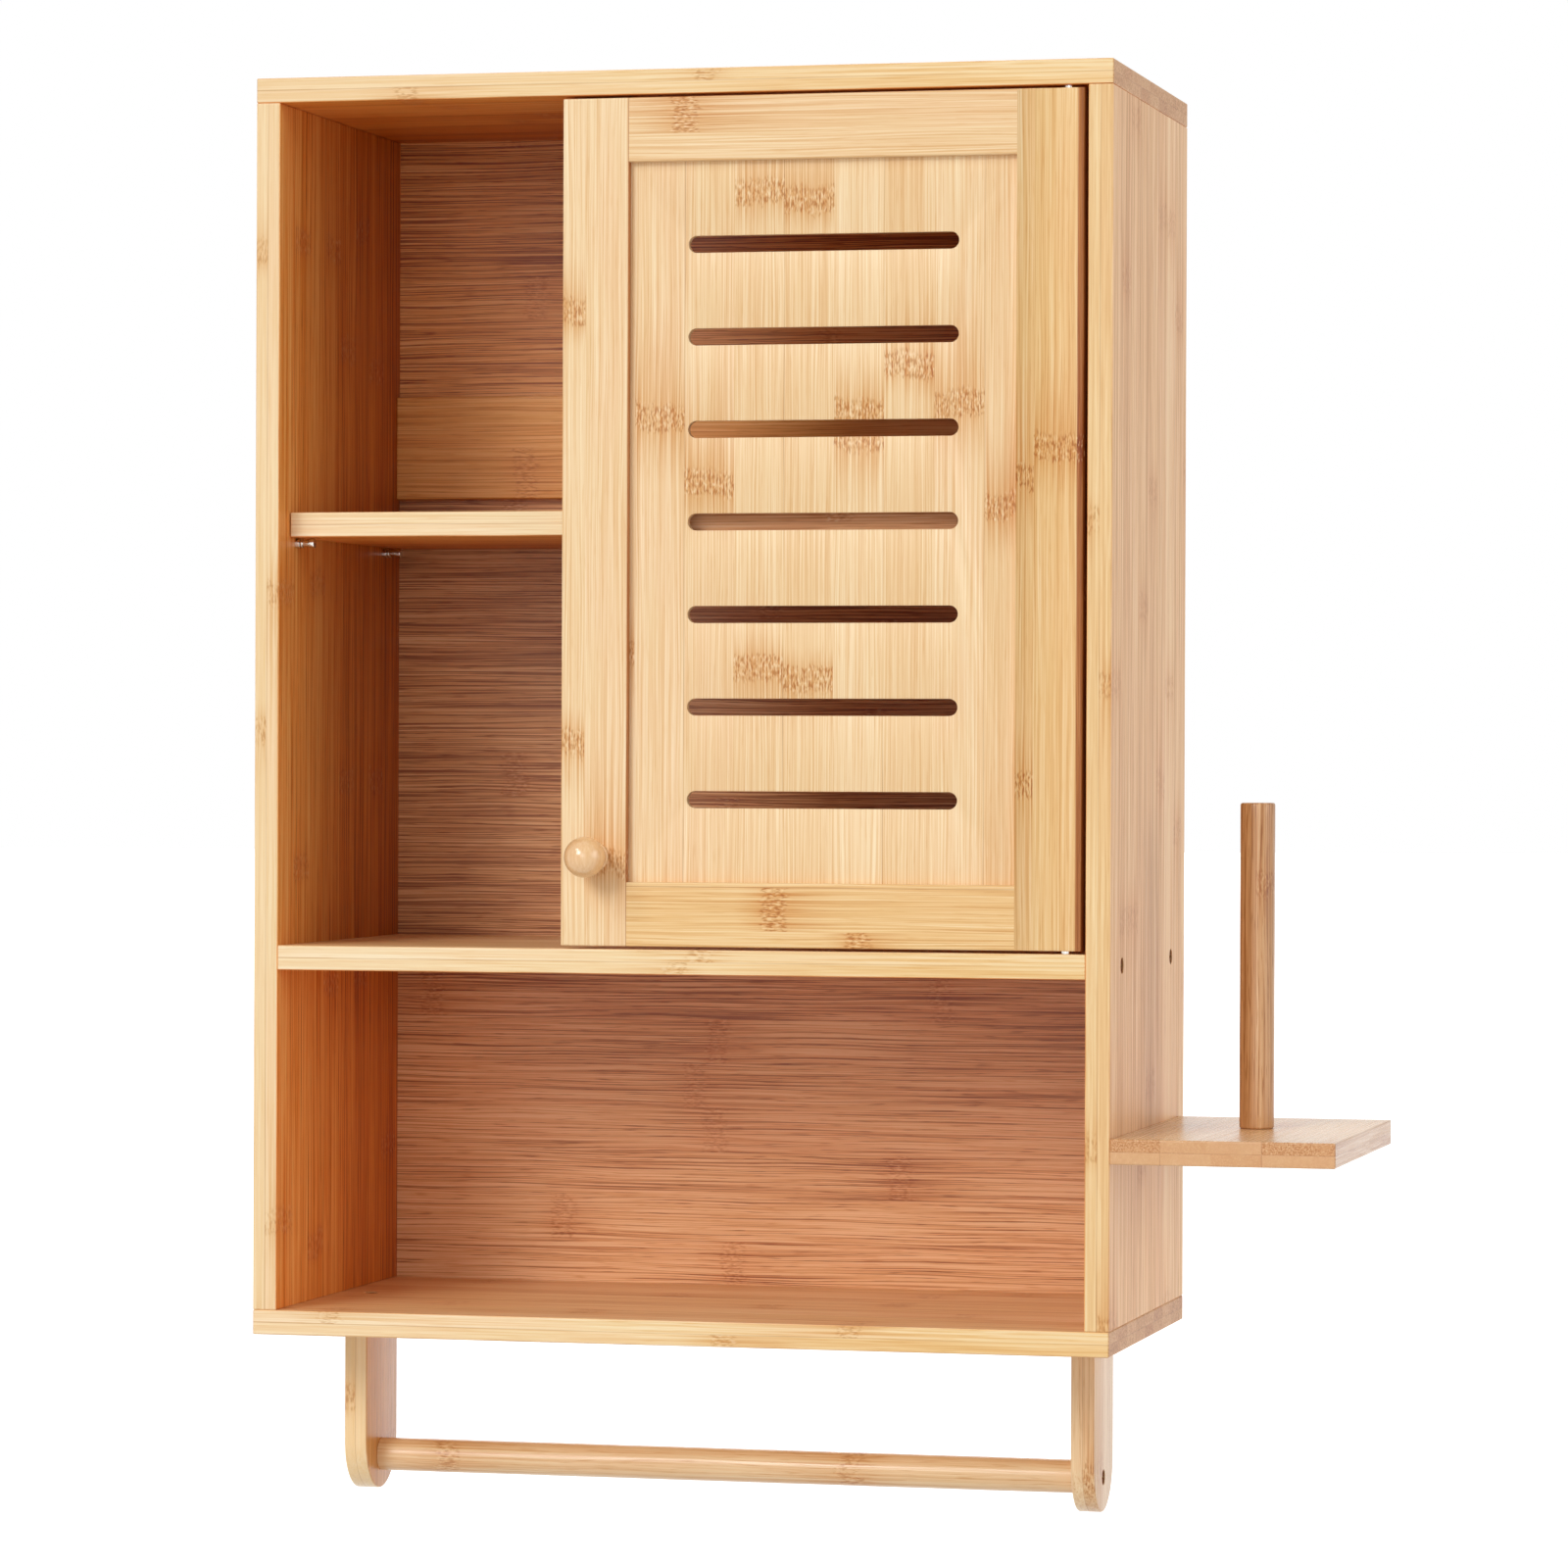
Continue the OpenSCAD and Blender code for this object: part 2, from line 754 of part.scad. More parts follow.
module catch_housing() {
    body_width = catch_width - 2 * ear_width;
    pocket_width = magnet_width + 2 * pocket_clear;
    color("#6B4A33") difference() {
        union() {
            translate([x_knob - catch_width / 2, y_catch, z_ears])
                cube([catch_width, catch_depth, catch_ear_t]);
            translate([x_knob - body_width / 2, y_catch, z_ceiling - catch_height])
                cube([body_width, catch_depth, catch_height]);
        }
        translate([x_knob - pocket_width / 2, y_catch - cut, z_poles - pocket_height / 2])
            cube([pocket_width, pole_depth - pole_proud + pocket_clear + cut, pocket_height]);
        at_catch_screws() small_hole();
    }
}

module catch_magnet() {
    color("#3A3A3C")
        translate([x_knob - magnet_width / 2, y_catch, z_poles - magnet_height / 2])
            cube([magnet_width, pole_depth - pole_proud, magnet_height]);
}

module catch_pole_plates() {
    color(steel) for (z = [z_poles - magnet_height / 2 - pole_t, z_poles + magnet_height / 2]) {
        translate([x_knob - magnet_width / 2, y_poles, z]) cube([magnet_width, pole_depth, pole_t]);
    }
}

module catch_screws() {
    color(steel) at_catch_screws() small_screw();
}

module strike_plate() {
    color(steel) difference() {
        translate([x_knob - strike_width / 2, y_door_rear, z_poles - strike_height / 2])
            cube([strike_width, strike_t, strike_height]);
        at_strike_screw() small_hole();
    }
}

module strike_plate_screw() {
    color(steel) at_strike_screw() small_screw();
}

// Towel bar
module towel_bracket(x_middle) {
    end_r = bracket_depth / 2;
    straight = bracket_drop - end_r;
    color(turned_bamboo) difference() {
        translate([x_middle - bracket_t / 2, y_bracket, z_under]) {
            translate([0, -end_r, -straight]) cube([bracket_t, bracket_depth, straight]);
            translate([0, 0, -straight]) rotate([0, 90, 0]) cylinder(r = end_r, h = bracket_t, $fn = 64);
        }
        at_bracket_screws() screw_hole();
        at_rod_screws() screw_hole(rod_screw_length);
    }
}

module left_towel_bracket() {
    towel_bracket(-x_bracket);
}

module right_towel_bracket() {
    towel_bracket(x_bracket);
}

module towel_rod() {
    color(turned_bamboo) difference() {
        translate([-rod_length / 2, y_bracket, z_rod]) rotate([0, 90, 0])
            cylinder(d = rod_d, h = rod_length);
        at_rod_screws() screw_hole(rod_screw_length);
    }
}

module towel_bracket_screws() {
    color(steel) at_bracket_screws() countersunk_screw();
}

module towel_rod_screws() {
    color(steel) at_rod_screws() countersunk_screw(rod_screw_length);
}

// Paper-roll holder
module holder_board() {
    color(turned_bamboo) difference() {
        translate([x_outer, y_front, z_holder]) eased_board([holder_reach, holder_depth, board_t]);
        at_holder_screws() screw_hole();
        at_holder_dowel_screw() screw_hole();
    }
}

module holder_dowel() {
    dowel_r = dowel_d / 2;
    color(turned_bamboo) difference() {
        translate([x_dowel, y_dowel, z_holder + board_t]) rotate_extrude() {
            square([dowel_r, dowel_length - dowel_round]);
            square([dowel_r - dowel_round, dowel_length]);
            translate([dowel_r - dowel_round, dowel_length - dowel_round])
                circle(r = dowel_round, $fn = small_fn);
        }
        at_holder_dowel_screw() screw_hole();
    }
}

module holder_board_screws() {
    color(steel) at_holder_screws() countersunk_screw();
}

module holder_dowel_screw() {
    color(steel) at_holder_dowel_screw() countersunk_screw();
}

top_panel();
bottom_panel();
left_side();
right_side();
fixed_shelf();
loose_shelf();
shelf_studs();
hanging_rail();
rail_dowels();
upper_back_panel();
lower_back_panel();
top_panel_screws();
bottom_panel_screws();
fixed_shelf_screws();
door_left_stile();
door_right_stile();
door_top_rail();
door_bottom_rail();
door_slotted_panel();
door_knob();
knob_screw();
upper_pivot_pin();
lower_pivot_pin();
upper_pivot_bush();
lower_pivot_bush();
catch_housing();
catch_magnet();
catch_pole_plates();
catch_screws();
strike_plate();
strike_plate_screw();
left_towel_bracket();
right_towel_bracket();
towel_rod();
towel_bracket_screws();
towel_rod_screws();
holder_board();
holder_dowel();
holder_board_screws();
holder_dowel_screw();
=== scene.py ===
# %% [markdown]
# # A bamboo wall cabinet, finished in Blender
# The construction comes in as a fixed frame of separate boards, screws and pins.
# This lesson gives each its surface: lacquered bamboo in glued strips, nickel,
# zinc, nylon and moulded plastic. The small turned pieces are modelled again,
# because a lathe leaves finer curves than a construction model needs.

# %% Load the frame
import math
import random

import bmesh
import bpy
from mathutils import Matrix, Vector


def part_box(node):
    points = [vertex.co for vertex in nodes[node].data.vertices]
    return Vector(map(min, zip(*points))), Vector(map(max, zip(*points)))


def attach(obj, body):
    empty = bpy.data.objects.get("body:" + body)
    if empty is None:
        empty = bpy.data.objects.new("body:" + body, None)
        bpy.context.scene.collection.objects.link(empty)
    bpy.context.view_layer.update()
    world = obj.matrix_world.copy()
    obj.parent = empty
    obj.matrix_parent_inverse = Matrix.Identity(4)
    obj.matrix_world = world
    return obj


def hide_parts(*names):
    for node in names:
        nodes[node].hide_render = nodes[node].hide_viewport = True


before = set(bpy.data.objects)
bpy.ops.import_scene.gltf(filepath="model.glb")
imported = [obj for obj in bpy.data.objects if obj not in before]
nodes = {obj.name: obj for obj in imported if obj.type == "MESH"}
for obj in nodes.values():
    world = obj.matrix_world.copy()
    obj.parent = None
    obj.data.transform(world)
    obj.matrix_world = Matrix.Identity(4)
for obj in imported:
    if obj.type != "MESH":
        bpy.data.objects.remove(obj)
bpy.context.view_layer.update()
MM = 0.001


# %% [markdown]
# ## Two helpers for finishes
# Colours are written as sRGB hex, as on a paint chart, and Blender wants linear
# numbers, so one function turns one into the other. The other function adds a
# shader node. It takes numbers, sockets or whole nodes as inputs, so a long chain
# of nodes reads from top to bottom.

# %% Colours
def linear(hex_colour):
    """Linear RGBA of an sRGB hex colour such as EDCB98."""
    channels = [int(hex_colour[i:i + 2], 16) / 255 for i in (0, 2, 4)]
    curve = [c / 12.92 if c <= 0.04045 else ((c + 0.055) / 1.055) ** 2.4 for c in channels]
    return (*curve, 1.0)


print("mid bamboo in linear light:", [round(c, 3) for c in linear("EDCB98")])


# %% Shader nodes
def add(tree, kind, inputs=None, **settings):
    """Adds a shader node with its settings. An input is a number, a socket, or a node's first live output."""
    node = tree.nodes.new("ShaderNode" + kind)
    for name, value in settings.items():
        setattr(node, name, value)
    for socket, value in (inputs or {}).items():
        if isinstance(value, bpy.types.Node):
            value = next(output for output in value.outputs if output.enabled)
        if isinstance(value, bpy.types.NodeSocket):
            tree.links.new(value, node.inputs[socket])
        else:
            node.inputs[socket].default_value = value
    return node


def empty_material(name):
    """A material whose node tree is still empty."""
    material = bpy.data.materials.new(name)
    material.use_nodes = True
    material.node_tree.nodes.clear()
    return material, material.node_tree


# %% [markdown]
# ## How strip bamboo is made
# A bamboo board is no slab of wood. Stalks are split into strips about 25 mm
# wide, boiled, planed and glued edge to edge into a ply, and two plies are glued
# face to face. So one board shows many strips, each with its own tone, long
# parallel fibres and, every 30 cm or so, the scar of a growth node.
#
# A flat picture of bamboo would have to be wrapped round every edge. A solid
# texture is better here: it is worked out from the place inside the board, so a
# strip runs over the edge and meets its own end grain, as it does when sawn.

# %% Palettes
# Each runs from the deepest fibre over the usual tone to the palest fibre.
EDGE = ("EAC68E", "EECD9B", "F4D9AD")       # planed and lacquered: fronts and narrow edges
PALE = ("ECC894", "F4D9AC", "FAE6C2")       # the same from the palest strips
AMBER = ("DFB278", "E9C28A", "F2D4A2")      # the same, yellower and deeper: painted shade on the right side, away from the light
DOOR = ("DEAD72", "EDCA98", "F9E2BA")       # the door, from the palest strips
WARM = ("D29A56", "E9BE80", "F5D8A6")       # deeper: painted shade on the right stile, away from the light, and a deeper batch of strips in the bottom rail
RIGHT_END_SHADE = ("E2B26E", "EEC98E", "F5DAAA")      # painted shade on the right ends of the long boards, away from the light on the left
BEHIND_DOOR_SHADE = ("BE7C48", "E6AA74", "F0C498")       # painted shade on the loose shelf's edge behind the door
UPWARD_INSIDE_SHADE = ("D09658", "F4C688", "FCDCAE")       # upward faces inside the case, deeper and warmer than the edges: painted shade and warm bounce light
SIDE = ("C88C56", "F0BC82", "FFDCAE")       # broad outer faces of the sides
STILE_EDGE_SHADE = ("8A4A1C", "AC6A34", "C68A50")       # painted shade on stile edges: in the panel's recess and at the hinge edge
HEEL_GAP_SHADE = ("4A1E08", "743C18", "98602E")       # deeper painted shade on the hinge stile's rounded heel, in the gap beside the case
END = ("A8703F", "C98F58", "DDB07C")        # sawn ends, which drink in more lacquer
INSIDE_SHADE = ("9E4E12", "F08E32", "FFC070")      # painted shade inside the case, tinted by warm bounce light
BACK_SHADE = ("7C3402", "C0620A", "E48C20")     # deeper painted shade towards the back of the case
UPPER = ("94481C", "E09650", "F4B87C")      # steamed strips of the upper back, red-brown
LOWER = ("98582E", "DC9E66", "F0C090")      # the lower back, from a lighter batch
RAIL = ("CA8238", "E6A252", "F2B874")       # a rail of lightly steamed bamboo
TURNED = ("CC985F", "E5BE8E", "F2D6AA")     # rods and fittings, sanded and oiled
BRACKET_SHADE = ("B0743C", "D6944E", "E8B070")      # painted shade on the left bracket's inner face, turned away from the light
GRAINY = ("CC9664", "D9A878", "E6BC8E")     # the sanded end of the holder board
HOLDER_END = ("A87040", "CE9A66", "DEB486") # its darker outer edge
KNOB = ("DDAA70", "EABE88", "F4D2A4")       # turned from one pale block
DOWEL = ("96602F", "C79463", "E4BE93")      # an upright dowel with one dark strip
print("the fronts run from", EDGE[0], "over", EDGE[1], "to", EDGE[2])

# %% Fibre looks
# fibre: contrast of the fine lines; band: of broader bands of fibres; dash: of short dark
# pores; wave: sideways drift in mm; strips: how far strips differ in tone; scar: how strong
# the nodes are; rough and shine: the lacquer's roughness and its specular level.
PLANED = {"fibre": 1.5, "band": 0.6, "dash": 0.2, "wave": 0.8, "strips": 0.16, "scar": 1.0,
          "rough": 0.38, "shine": 0.35}
BROAD = {"fibre": 1.7, "band": 1.0, "dash": 0.25, "wave": 0.8, "strips": 0.26, "scar": 0.6,
         "rough": 0.42, "shine": 0.28}
STEAMED = {"fibre": 2.6, "band": 0.9, "dash": 0.4, "wave": 1.0, "strips": 0.36, "scar": 0.6,
           "rough": 0.32, "shine": 0.42}
SANDED = {"fibre": 1.1, "band": 1.0, "dash": 0.4, "wave": 1.4, "strips": 0.30, "scar": 0.7,
          "rough": 0.30, "shine": 0.50}
SATIN = {"fibre": 0.8, "band": 0.45, "dash": 0.15, "wave": 1.4, "strips": 0.16, "scar": 0.7,
         "rough": 0.26, "shine": 0.42}
POLISHED = {"fibre": 0.6, "band": 0.5, "dash": 0.15, "wave": 1.6, "strips": 0.10, "scar": 0.4,
            "rough": 0.20, "shine": 0.80}
print("fibre contrast:", STEAMED["fibre"], "on the back and", POLISHED["fibre"], "on the knob")


# %% [markdown]
# ## Strips as a table
# Every strip needs facts of its own: where its nodes sit and how pale it is. A
# colour ramp with hard steps is a small table that a shader can read: the strip's
# number picks the step, red, green and blue hold up to three node places, and
# alpha holds the tone. Places that the photograph shows are listed, and the rest
# are drawn from a seeded dice, so each run gives the same boards.

# %% The strip table
STRIP_MARGIN = 80.0     # mm beyond a board's end, where an unused node place is parked
NODE_SPACING = 310.0    # mm between the growth nodes of one stalk
MOST_ROWS = 32          # a colour ramp holds no more steps


def strip_table(rows, span, known, tones, seed):
    """For each row three node places as shares of the span with its margins, and a tone from 0 to 1."""
    dice = random.Random(seed)
    table = []
    for row in range(rows):
        first = dice.uniform(-0.6, 0.9) * NODE_SPACING
        drawn = [first + step * (NODE_SPACING + dice.uniform(-40, 40)) for step in range(3)]
        places = list(known.get(row, drawn))[:3]
        places += [-STRIP_MARGIN] * (3 - len(places))
        shares = [(place + STRIP_MARGIN) / (span + 2 * STRIP_MARGIN) for place in places]
        drawn_tone = dice.random()
        table.append((*[min(max(share, 0.0), 1.0) for share in shares], tones.get(row, drawn_tone)))
    return table


print("first strip of a 400 mm board:", [round(v, 2) for v in strip_table(1, 400, {}, {}, 1)[0]])


# %% [markdown]
# ## Patterns of a real size
# Noise is stretched by a Mapping node until its patches have the size of the real
# thing in millimetres: fibres are fine and run on for decimetres, pores are short,
# and a node scar has strokes a few millimetres long.

# %% Stretched noise
def pattern(tree, place, size, shift):
    """Noise whose patches measure size in mm along the grain, across it and through the board. Each
    pattern has a shift of its own, so that no two of them fall on one another."""
    spot = add(tree, "Mapping", {"Vector": place, "Location": (shift, shift, shift),
                                 "Scale": [1 / s for s in size]})
    return add(tree, "TexNoise", {"Vector": spot, "Scale": 1.0, "Detail": 1.0, "Roughness": 0.6})


# %% Where a point lies
def board_place(tree, low, grain, across, depth):
    """A point's millimetres from the board's low corner, along the grain, across and through it."""
    coordinates = add(tree, "TexCoord").outputs["Object"]
    offset = add(tree, "VectorMath", {0: coordinates, 1: low}, operation="SUBTRACT")
    in_mm = add(tree, "VectorMath", {0: offset, "Scale": 1 / MM}, operation="SCALE")
    xyz = add(tree, "SeparateXYZ", {0: in_mm})
    return xyz.outputs[grain], xyz.outputs[across], xyz.outputs[depth]


# %% Fibre tone
USUAL_LEVEL = 0.52      # just above the middle colour of a palette


def fibre_tone(tree, place, look, strip_tone):
    """A level from 0, the deepest fibre, to 1, the palest, and the fine and short patterns in it."""
    broad = pattern(tree, place, (480, 8.0, 8.0), 11.0)
    middle = pattern(tree, place, (240, 2.2, 2.2), 23.0)
    # Real fibres are thinner than 0.8 mm, which is the finest that a picture shows
    fine = pattern(tree, place, (110, 0.8, 0.8), 37.0)
    pores = pattern(tree, place, (18, 0.8, 0.8), 51.0)
    # A dot product adds up how the three swing about their middle, by their weights
    three = add(tree, "CombineXYZ", {0: broad, 1: middle, 2: fine})
    swing = add(tree, "VectorMath", {0: three, 1: (0.5, 0.5, 0.5)}, operation="SUBTRACT")
    weights = (0.40 * look["band"], 0.70 * look["band"], look["fibre"])
    lines = add(tree, "VectorMath", {0: swing, 1: weights}, operation="DOT_PRODUCT")
    half = look["strips"] / 2
    strip_part = add(tree, "MapRange", {0: strip_tone, 3: USUAL_LEVEL - half, 4: USUAL_LEVEL + half})
    level = add(tree, "Math", {0: lines, 1: strip_part}, operation="ADD")
    dark_pores = add(tree, "MapRange", {0: pores, 1: 0.42, 2: 0.30, 4: 0.8 * look["dash"]})
    level = add(tree, "Math", {0: level, 1: dark_pores}, operation="SUBTRACT")
    return level, fine, dark_pores


# %% Distance to the nearest node
BEND = 12.0     # mm that a scar's line bends to and fro over a strip
FRAY = 8.0      # mm that the tips of its strokes spread


def to_nearest_node(tree, along, place, node_places, span):
    """Millimetres along the grain to the nearest of a strip's three nodes, from a bent and frayed line."""
    arch = pattern(tree, place, (300, 12.0, 12.0), 67.0)
    tips = pattern(tree, place, (14, 1.2, 1.2), 71.0)
    bent = add(tree, "Math", {0: arch, 1: BEND, 2: STRIP_MARGIN - BEND / 2}, operation="MULTIPLY_ADD")
    bent = add(tree, "Math", {0: along, 1: bent}, operation="ADD")
    ragged = add(tree, "Math", {0: tips, 1: FRAY, 2: -FRAY / 2}, operation="MULTIPLY_ADD")
    ragged = add(tree, "Math", {0: bent, 1: ragged}, operation="ADD")
    centres = add(tree, "VectorMath", {0: node_places, "Scale": span + 2 * STRIP_MARGIN}, operation="SCALE")
    here = add(tree, "CombineXYZ", {0: ragged, 1: ragged, 2: ragged})
    offset = add(tree, "VectorMath", {0: here, 1: centres}, operation="SUBTRACT")
    # One side of a scar fades out twice as far as the other
    far = add(tree, "VectorMath", {0: offset, 1: (0.55, -0.55, 0.55)}, operation="MULTIPLY")
    near = add(tree, "VectorMath", {0: offset, 1: (-1.2, 1.2, -1.2)}, operation="MULTIPLY")
    away = add(tree, "SeparateXYZ", {0: add(tree, "VectorMath", {0: far, 1: near}, operation="MAXIMUM")})
    nearest = add(tree, "Math", {0: away.outputs[0], 1: away.outputs[1]}, operation="MINIMUM")
    return add(tree, "Math", {0: nearest, 1: away.outputs[2]}, operation="MINIMUM")


# %% Node scars
def node_scars(tree, nearest, place, fine, dice):
    """Three masks of a growth node: its dark strokes, its pale strokes and the flame beside it."""
    band = add(tree, "MapRange", {0: nearest, 1: 6.0, 2: 3.5}, interpolation_type="SMOOTHSTEP")
    strokes = pattern(tree, place, (3.5, 0.9, 0.9), 83.0)
    dark = add(tree, "MapRange", {0: strokes, 1: 0.50, 2: 0.62})
    dark = add(tree, "Math", {0: dark, 1: band}, operation="MULTIPLY")
    pale = add(tree, "MapRange", {0: strokes, 1: 0.43, 2: 0.34})
    pale = add(tree, "Math", {0: pale, 1: band}, operation="MULTIPLY")
    # Flames are 10 to 75 mm long, each strip with its own length
    reach = add(tree, "MapRange", {0: dice, 3: 12.0, 4: 42.0})
    fade = add(tree, "MapRange", {0: nearest, 1: reach, 2: 3.0})
    fade = add(tree, "Math", {0: fade, 1: 1.5}, operation="POWER")
    fade = add(tree, "Math", {0: fade, 1: 0.85}, operation="MULTIPLY")
    # The wood right at the node is tanned as a whole, under its strokes
    tanned = add(tree, "MapRange", {0: nearest, 1: 8.0, 2: 4.0, 4: 0.9}, interpolation_type="SMOOTHSTEP")
    fade = add(tree, "Math", {0: fade, 1: tanned}, operation="MAXIMUM")
    streaks = add(tree, "MapRange", {0: fine, 1: 0.64, 2: 0.40, 3: 0.25})
    flame = add(tree, "Math", {0: fade, 1: streaks}, operation="MULTIPLY")
    return dark, pale, flame


# %% Glue lines
def glue_lines(tree, strip_place, strip, deep, ply, cloud):
    """A hair line between strips and another between plies, neither of even strength."""
    beside = add(tree, "Math", {0: strip_place, 1: 1.0}, operation="PINGPONG")
    to_joint = add(tree, "Math", {0: beside, 1: strip}, operation="MULTIPLY")
    joint = add(tree, "MapRange", {0: to_joint, 1: 0.45, 2: 0.1})
    strength = add(tree, "MapRange", {0: cloud, 1: 0.4, 2: 0.6, 3: 0.0, 4: 0.5})
    joint = add(tree, "Math", {0: joint, 1: strength}, operation="MULTIPLY")
    to_ply = add(tree, "Math", {0: deep, 1: ply}, operation="SUBTRACT")
    to_ply = add(tree, "Math", {0: to_ply}, operation="ABSOLUTE")
    seam = add(tree, "MapRange", {0: to_ply, 1: 0.35, 2: 0.1})
    strength = add(tree, "MapRange", {0: cloud, 1: 0.35, 2: 0.6, 3: 0.05, 4: 0.45})
    seam = add(tree, "Math", {0: seam, 1: strength}, operation="MULTIPLY")
    return add(tree, "Math", {0: joint, 1: seam}, operation="MAXIMUM")


# %% [markdown]
# ## One board at a time
# A board's strips are counted, the strip table is read, fibres give a level
# between a palette's three colours, and faces, node scars and glue lines are laid
# over that. Broad faces outside take a palette of their own, because lacquer lies
# thicker on them. Faces inside the case take deeper, warmer palettes that are
# painted shade and warm bounce light, deepening towards the back.

# %% Rows of strips
AXES = {"X": 0, "Y": 1, "Z": 2}
NO_SEAM = 1e6       # mm: a board of one ply has its seam nowhere near


def board_rows(node, grain, across, strip, joint, plies, marks, tones):
    """A board's measures in mm, how its strips fall, and what the photograph tells of each row."""
    low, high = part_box(node)
    depth = (set(AXES) - {grain, across}).pop()
    size = {axis: (high[i] - low[i]) / MM for axis, i in AXES.items()}
    start = {axis: low[i] / MM for axis, i in AXES.items()}
    first = ((joint if joint is not None else start[across]) - start[across]) % strip - strip
    count = min(int((size[across] - first) / strip) + 1, MOST_ROWS // plies)
    ply = size[depth] / 2 if plies == 2 else NO_SEAM

    def row_of(spot):
        row = int((spot[across] - start[across] - first) / strip)
        return row + count * int(spot[depth] - start[depth] > ply)

    known, shown = {}, {}
    for mark in marks:
        spot = dict(zip(AXES, mark))
        known.setdefault(row_of(spot), []).append(spot[grain] - start[grain])
    for *mark, strip_tone in tones:
        shown[row_of(dict(zip(AXES, mark)))] = strip_tone
    return {"low": low, "size": size, "depth": depth, "first": first, "count": count, "ply": ply,
            "known": known, "shown": shown}


rail_rows = board_rows("hanging_rail", "X", "Z", 27.5, 0.0, 2, (), ())
print("the hanging rail has", rail_rows["count"], "strips in each ply")


# %% The table as a ramp
def table_ramp(tree, row, table):
    """A colour ramp with a hard step for each row of the table, read by the row's number."""
    rows = len(table)
    share = add(tree, "Math", {0: row, 1: 1 / rows, 2: 0.5 / rows}, operation="MULTIPLY_ADD")
    ramp = add(tree, "ValToRGB", {0: share})
    ramp.color_ramp.interpolation = "CONSTANT"
    for i, entry in enumerate(table):
        steps = ramp.color_ramp.elements
        step = steps[i] if i < 2 else steps.new(i / rows)
        step.position = i / rows
        step.color = entry
    return ramp


# %% A palette as a ramp
def palette_ramp(tree, level, palette):
    """The three colours of a palette, read by the fibre level."""
    ramp = add(tree, "ValToRGB", {0: level})
    ramp.color_ramp.elements[0].position = 0.05
    ramp.color_ramp.elements[0].color = linear(palette[0])
    ramp.color_ramp.elements[1].position = 0.95
    ramp.color_ramp.elements[1].color = linear(palette[2])
    ramp.color_ramp.elements.new(0.5).color = linear(palette[1])
    return ramp


# %% Faces with a palette of their own
SOFT_EDGE = 0.5             # mm over which one palette gives way to the other
SHADE_DEEPENS = (30, 195)   # mm behind the front, from where to where the painted shade inside deepens


def over_faces(tree, colour, level, places, size, faces):
    """Lays the palettes of single faces over a colour. Places are the millimetres along each axis."""
    for axis, end, palette, reach in faces:
        edge = (reach + SOFT_EDGE, reach)
        if end == "+":
            edge = (size[axis] - reach - SOFT_EDGE, size[axis] - reach)
        mask = add(tree, "MapRange", {0: places[axis], 1: edge[0], 2: edge[1]})
        face_colour = palette_ramp(tree, level, palette)
        # Inside the case the painted shade deepens from the front towards the back
        if palette == INSIDE_SHADE:
            to_back = add(tree, "MapRange", {0: places["Y"], 1: SHADE_DEEPENS[0], 2: SHADE_DEEPENS[1]})
            back_shade_colour = palette_ramp(tree, level, BACK_SHADE)
            face_colour = add(tree, "Mix", {0: to_back, 6: face_colour, 7: back_shade_colour}, data_type="RGBA")
        colour = add(tree, "Mix", {0: mask, 6: colour, 7: face_colour}, data_type="RGBA")
    return colour


# %% Tints of scars and glue
# They tint what lies under them, so they suit every board
FLAME_TINT = linear("E0B470")
STROKE_TINT = linear("D0AC7C")
GLUE_TINT = linear("B98C60")


def over_scars(tree, colour, dark, pale, flame, palette, strength):
    """Lays a growth node's flame, dark strokes and pale strokes over a colour."""
    for mask, share, tint in ((flame, 0.9, FLAME_TINT), (dark, 0.85, STROKE_TINT)):
        amount = add(tree, "Math", {0: mask, 1: share * strength}, operation="MULTIPLY")
        colour = add(tree, "Mix", {0: amount, 6: colour, 7: tint}, data_type="RGBA", blend_type="MULTIPLY")
    amount = add(tree, "Math", {0: pale, 1: 0.55 * strength}, operation="MULTIPLY")
    return add(tree, "Mix", {0: amount, 6: colour, 7: palette_ramp(tree, 0.9, palette)}, data_type="RGBA")


# %% Lacquer over fibres
def lacquered(tree, colour, fine, pores, dark, look):
    """The shader: fibres stand a few hundredths of a millimetre proud under the satin lacquer."""
    height = add(tree, "Math", {0: fine, 1: pores}, operation="SUBTRACT")
    height = add(tree, "Math", {0: height, 1: dark}, operation="SUBTRACT")
    bump = add(tree, "Bump", {"Height": height, "Strength": 0.25, "Distance": 0.08 * MM})
    sheen = add(tree, "MapRange", {0: fine, 1: 0.3, 2: 0.7, 3: look["rough"] + 0.05, 4: look["rough"] - 0.05})
    shader = add(tree, "BsdfPrincipled", {"Base Color": colour, "Roughness": sheen, "Normal": bump,
                                          "IOR": 1.50, "Specular IOR Level": look["shine"]})
    add(tree, "OutputMaterial", {"Surface": shader})


# %% The board finish
STRIP_JUMP = 517.0          # mm that the noise moves on per strip, so that no fibre crosses a glue line
ROSY = linear("FFF8F9")     # some strips lean to pink and others to yellow


